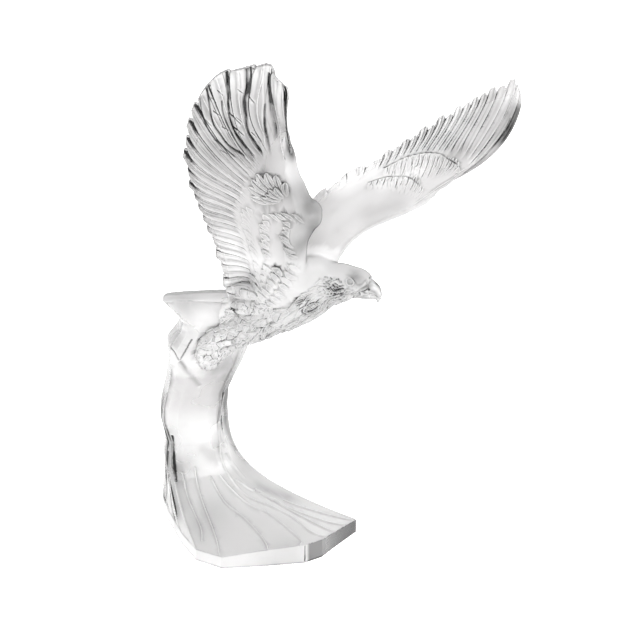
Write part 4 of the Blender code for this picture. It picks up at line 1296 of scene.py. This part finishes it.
def carve(eagle, flesh):
    """All the fine relief, and the marks that the crystal's roughness, bumps and painted light and shade
    follow.
    """
    mesh = eagle.data
    relief = Relief(mesh)
    count = len(relief.points)
    marks = {name: np.zeros(count) for name in ("feather_along", "feather_lines", "polish", "clear", "painted_shade")}
    marks["feather_number"] = np.full(count, 0.5)
    polish = marks["polish"]
    for wing in (NEAR_WING, FAR_WING):
        skin = WingSkin(relief, wing)
        number = carve_flight_feathers(skin)
        for side in (-1, 1):
            seen = side * wing.seen > 0
            carve_coverts(relief, wing, side, wing_rows(wing) if seen else BACK_ROWS, 1.0 if seen else 0.8)
        if wing is NEAR_WING:
            carve_broad_feathers(skin)
            carve_tuft(relief, wing, wing.seen)
            gloss = ease((skin.t - 0.60) / 0.12) * ease((skin.v - 0.28) / 0.15)
        else:
            for path, height, width in FAR_LINES:
                skin.stroke(path, height, width)
            carve_fans(skin)
            gloss = ease((skin.t - 0.95) / 0.03) * ease((skin.v - 0.2) / 0.1) * ease((0.8 - skin.v) / 0.1)
        polish[skin.index] = np.maximum(gloss, TIP_POLISH * ease((skin.v - 0.80) / 0.15))
        # Painted dark reflection on the glossy feathers.
        marks["painted_shade"][skin.index] += GLOSS_PAINTED_SHADE * gloss
        marks["feather_number"][skin.index], marks["feather_along"][skin.index] = number, skin.v
        # How strong the painted shade in the seams is; it also sets how deep the barbs are bumped.
        lines = skin.strength * wing.depth(np.clip(skin.tip_t, 0, 1))
        lines *= 0.25 + 0.75 * ease((skin.v - 0.45) / 0.45)
        if wing is NEAR_WING:
            outer = ease((skin.v - OUTER_SEAM[0]) / (OUTER_SEAM[1] - OUTER_SEAM[0]))
            outer *= ease((skin.tip_t - NOTCHED[0] + 0.02) / 0.10)
            outer *= ease((NOTCHED[1] + 0.02 - skin.tip_t) / 0.08)
            lines *= 1 + OUTER_SEAM_GAIN * outer
        marks["feather_lines"][skin.index] = lines
    carve_body_feathers(relief, flesh)
    carve_leg_feathers(relief, flesh)
    carve_oval(relief)
    carve_head(relief)
    carve_base(relief)
    carved = relief.points + relief.normals * relief.lift[:, None]
    write_points(mesh, np.clip(carved, np.array(cad_low) / MM, np.array(cad_high) / MM))
    fine, broad = hollows(mesh)
    # Painted highlight on ridges and convex edges.
    marks["edge"] = np.clip(-fine / FINE_CREASE * 1.5, 0, 1)
    # Painted shade in the listed places.
    for path, radius, strength in PAINTED_SHADE_SPOTS:
        marks["painted_shade"] += strength * np.exp(-((distance_to(relief.points, path) / radius) ** 2))
    # No painted shade where a ridge has its painted highlight.
    marks["painted_shade"] *= 1 - relief.bright
    # Painted shade in broad hollows.
    marks["hollow"] = np.clip(broad / BROAD_CREASE, -1, 1) * 0.5 + 0.5
    x, y, z = relief.points.T
    beak = ease(((relief.points - np.array(HEAD_MIDDLE)) @ HEAD_FORWARD - 15) / 2) * (z < 216) * (y < -15)
    plate = PLATE_POLISH * ease((70 - z) / 50)
    column = COLUMN_POLISH * ((x < -12) & (y > 12) & (z < 175))
    for part in (beak, plate, column):
        polish[:] = np.maximum(polish, part)
    rim = (np.abs(relief.normals[:, 2]) < 0.5) & (z < RIM_TOP)
    polish[rim], marks["edge"][rim] = 1.0, 0.0
    # Lighter base colour on the plate, rim, ridge crests and body: partly clearer polished crystal, partly
    # painted light.
    low_clear_and_light = (PLATE_CLEAR_AND_LIGHT + (1 - PLATE_CLEAR_AND_LIGHT) * ease((z - 18) / 16)) * ease((100 - z) / 30)
    marks["clear"] = np.maximum(np.maximum(low_clear_and_light, rim), relief.bright)
    marks["clear"][(z > BODY_BOTTOM) & (marks["feather_along"] < 0.12)] = BODY_CLEAR_AND_LIGHT
    # Painted light in the listed places.
    for path, radius, strength in PAINTED_LIGHT_SPOTS:
        near = strength * np.exp(-((distance_to(relief.points, path) / radius) ** 2))
        marks["clear"] = np.maximum(marks["clear"], near)
    # Painted shade in narrow creases, fainter low on the base, and in the cuts, pits and notches.
    creases = np.clip(fine / FINE_CREASE, 0, 1) * np.where(z < PLATE_TOP, PLATE_CREASE, 1.0)
    marks["crease_shade"] = np.maximum(creases, relief.shade)
    add_marks(mesh, marks)


def wing_rows(wing):
    return NEAR_ROWS if wing is NEAR_WING else FAR_ROWS


def thin(made):
    """Leaves fewer triangles. They stay closest together on the head and the carved near side."""
    points, normals = read_points(made.data), read_normals(made.data)
    turn = ease((normals[:, 1] + FREEDOM_TURN) / (2 * FREEDOM_TURN))
    free = NEAR_FREEDOM + (1 - NEAR_FREEDOM) * turn
    from_head = np.linalg.norm(points - np.array(HEAD_MIDDLE), axis=1)
    free = np.round(np.maximum(free - ease((HEAD_KEPT + HEAD_FADE - from_head) / HEAD_FADE), 0.0), 1)
    group = made.vertex_groups.new(name="free")
    for level in np.unique(free):
        group.add(np.flatnonzero(free == level).tolist(), max(float(level), 0.01), "REPLACE")
    thinner = made.modifiers.new("thinner", "DECIMATE")
    thinner.ratio = min(1.0, TRIANGLES / (2 * len(made.data.polygons)))
    thinner.vertex_group, thinner.vertex_group_factor = group.name, FREEDOM_FACTOR
    applied(made)


def shade_smooth(made):
    """Smooth shading. Large faces keep their own normals, so the plate looks flat and its rim crisp."""
    for polygon in made.data.polygons:
        polygon.use_smooth = True
    weighted = made.modifiers.new("weighted", "WEIGHTED_NORMAL")
    weighted.mode, weighted.weight = "FACE_AREA", 50
    applied(made)


class Nodes:
    """Short ways to add and link shader nodes. A value given as a number is set on the socket itself."""

    def __init__(self, tree):
        self.tree = tree

    def add(self, kind, inputs=(), **settings):
        node = self.tree.nodes.new(kind)
        for name, value in settings.items():
            setattr(node, name, value)
        for socket, value in dict(inputs).items():
            if isinstance(value, bpy.types.NodeSocket):
                self.tree.links.new(value, node.inputs[socket])
            else:
                node.inputs[socket].default_value = value
        return node

    def mark(self, name):
        return self.add("ShaderNodeAttribute", attribute_name=name).outputs["Fac"]

    def math(self, operation, *values):
        return self.add("ShaderNodeMath", dict(enumerate(values)), operation=operation).outputs[0]

    def plus(self, first, second):
        return self.math("ADD", first, second)

    def times(self, first, *others):
        for other in others:
            first = self.math("MULTIPLY", first, other)
        return first

    def from_middle(self, number):
        """How far a number's fraction is from a half."""
        return self.math("ABSOLUTE", self.math("SUBTRACT", self.math("FRACT", number), 0.5))

    def blend(self, share, first, second):
        """A colour between two."""
        inputs = {"Factor": share, 6: first, 7: second}
        return self.add("ShaderNodeMix", inputs, data_type="RGBA").outputs[2]

    def ramp(self, value, start, end, low=0.0, high=1.0):
        inputs = {"Value": value, "From Min": start, "From Max": end, "To Min": low, "To Max": high}
        return self.add("ShaderNodeMapRange", inputs, interpolation_type="SMOOTHSTEP").outputs[0]


def crystal():
    """Satin crystal: see-through and softly rough, polished where the marks say so. Its colour has painted
    shade in creases, in the seams between the feathers and in other marked places, and painted light and
    highlights elsewhere. Fine barbs run off the quills, and the etched skin has a grain."""
    material = bpy.data.materials.new("cast_crystal")
    material.use_nodes = True
    nodes = Nodes(material.node_tree)
    number, strength, polish = nodes.mark("feather_number"), nodes.mark("feather_lines"), nodes.mark("polish")
    place = nodes.add("ShaderNodeTexCoord").outputs["Object"]
    x, y, z = nodes.add("ShaderNodeSeparateXYZ", {"Vector": place}).outputs
    grain, cloud, patch = (
        nodes.add("ShaderNodeTexNoise", {"Vector": place, "Scale": scale, "Detail": detail}).outputs["Fac"]
        for scale, detail in ((900.0, 3.0), (30.0, 2.0), (75.0, 1.0))
    )

    # Painted shade in the seams between the feathers, and in a second line in each.
    across = nodes.from_middle(number)
    seam = nodes.times(nodes.ramp(across, *SEAM), strength)
    second = nodes.ramp(nodes.from_middle(nodes.plus(number, SECOND_SHIFT)), *SECOND_SEAM)
    seam = nodes.plus(seam, nodes.times(second, strength, SECOND_DARK))
    lines = nodes.plus(nodes.mark("crease_shade"), nodes.times(seam, SEAM_DARK))
    dark = nodes.times(lines, nodes.ramp(patch, 0.40, 0.60, 0.70, 1.25))
    # Painted shade in the marked places, weaker on convex edges.
    kept = nodes.math("SUBTRACT", 1.0, nodes.times(nodes.mark("edge"), 0.8))
    dark = nodes.plus(dark, nodes.times(nodes.mark("painted_shade"), kept))
    # Painted shade in broad hollows.
    dark = nodes.plus(dark, nodes.times(nodes.ramp(nodes.mark("hollow"), 0.55, 0.95), 0.12))
    # Painted shade on edges seen at a slant, above the floor.
    slant = nodes.add("ShaderNodeLayerWeight", {"Blend": 0.5}).outputs["Facing"]
    outline = nodes.ramp(z, *OUTLINE_HEIGHT, 0.0, OUTLINE_DARK)
    dark = nodes.plus(dark, nodes.times(nodes.ramp(slant, *OUTLINE_FACING), outline))
    # Painted shade on the rim's right end.
    facet = nodes.plus(*(nodes.ramp(x, start, end, 0.0, darker) for start, end, darker in RIM_FACETS))
    facet = nodes.times(facet, nodes.ramp(y, *RIM_FACET_END), nodes.ramp(polish, 0.9, 1.0))
    dark = nodes.plus(dark, nodes.times(facet, nodes.ramp(z, *RIM_FACET_TOP)))
    dark = nodes.math("MINIMUM", dark, 1.0)
    # Painted light and highlights: lighter tone where the crystal is clear and lit, and on convex edges.
    light = nodes.math("MAXIMUM", nodes.mark("clear"), nodes.mark("edge"))
    tone = nodes.blend(dark, nodes.blend(light, SATIN_TONE, CLEAR_AND_LIT_TONE), PAINTED_SHADE_TONE)

    rough = nodes.ramp(polish, 0.0, 1.0, SATIN_ROUGH, POLISHED_ROUGH)
    rough = nodes.plus(rough, nodes.times(nodes.math("SUBTRACT", cloud, 0.5), 0.08))
    barb = nodes.plus(nodes.times(nodes.mark("feather_along"), 62.0), nodes.times(across, 9.0))
    barb = nodes.times(nodes.math("SINE", nodes.times(barb, 2 * math.pi)), strength)
    height = nodes.plus(nodes.times(barb, 0.35), grain)
    bump = nodes.add("ShaderNodeBump", {"Strength": 0.25, "Distance": 0.0002, "Height": height})

    shader = material.node_tree.nodes["Principled BSDF"]
    for socket, value in (("Base Color", tone), ("Roughness", rough), ("Normal", bump.outputs["Normal"])):
        material.node_tree.links.new(value, shader.inputs[socket])
    for socket, value in (("Metallic", 0.0), ("Transmission Weight", TRANSMISSION), ("IOR", 1.54),
                          ("Specular IOR Level", 0.25)):
        shader.inputs[socket].default_value = value
    return material


def add_floor():
    mesh = bpy.data.meshes.new("floor")
    corners = [(x * FLOOR_HALF, y * FLOOR_HALF, 0) for x, y in ((-1, -1), (1, -1), (1, 1), (-1, 1))]
    mesh.from_pydata(corners, [], [(0, 1, 2, 3)])
    floor = bpy.data.objects.new("floor", mesh)
    bpy.context.scene.collection.objects.link(floor)
    floor.location.z = -0.0002
    paint = bpy.data.materials.new("floor_white")
    paint.use_nodes = True
    shader = paint.node_tree.nodes["Principled BSDF"]
    shader.inputs["Base Color"].default_value = (0.95, 0.95, 0.95, 1)
    shader.inputs["Roughness"].default_value = 0.9
    shader.inputs["Emission Color"].default_value = (1, 1, 1, 1)
    shader.inputs["Emission Strength"].default_value = FLOOR_GLOW
    mesh.materials.append(paint)


def add_camera():
    data = bpy.data.cameras.new("camera")
    data.sensor_width = 36
    data.lens = data.sensor_width * VIEW_DISTANCE / VIEW_WIDTH
    data.clip_start, data.clip_end = 0.05, 30
    camera = bpy.data.objects.new("camera", data)
    bpy.context.scene.collection.objects.link(camera)
    back = Vector((0, -math.cos(VIEW_HEIGHT), math.sin(VIEW_HEIGHT)))
    camera.location = Vector(VIEW_MIDDLE) + back * VIEW_DISTANCE
    camera.rotation_mode = "QUATERNION"
    camera.rotation_quaternion = (-back).to_track_quat("-Z", "Y")
    bpy.context.scene.camera = camera


def add_light():
    """Soft studio light: a bright sky overhead that dims towards the horizon, and three soft lamps."""
    world = bpy.data.worlds.new("studio")
    world.use_nodes = True
    nodes = Nodes(world.node_tree)
    direction = nodes.add("ShaderNodeTexCoord").outputs["Generated"]
    parts = nodes.add("ShaderNodeSeparateXYZ", {"Vector": direction}).outputs
    glow = nodes.ramp(parts["Z"], 0.0, 0.7, SKY[0], SKY[1])
    glow = nodes.math("MULTIPLY", glow, nodes.ramp(parts["X"], -0.9, 0.9, 1.1, 0.9))
    back = world.node_tree.nodes["Background"]
    back.inputs["Color"].default_value = (1, 1, 1, 1)
    world.node_tree.links.new(glow, back.inputs["Strength"])
    bpy.context.scene.world = world
    for place, power in LAMPS:
        data = bpy.data.lights.new("soft_lamp", "AREA")
        data.shape, data.size = "SQUARE", LAMP_SIZE
        data.energy = power
        lamp = bpy.data.objects.new("soft_lamp", data)
        bpy.context.scene.collection.objects.link(lamp)
        lamp.location = place
        lamp.rotation_mode = "QUATERNION"
        lamp.rotation_quaternion = (Vector((0, 0, 0.2)) - Vector(place)).to_track_quat("-Z", "Y")
    bpy.context.scene.view_settings.view_transform = "Standard"


eagle, flesh_places = build_cast()
carve(eagle, flesh_places)
thin(eagle)
shade_smooth(eagle)
eagle.data.materials.clear()
eagle.data.materials.append(crystal())
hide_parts("crystal_eagle")
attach(eagle, "root")
add_floor()
add_camera()
add_light()
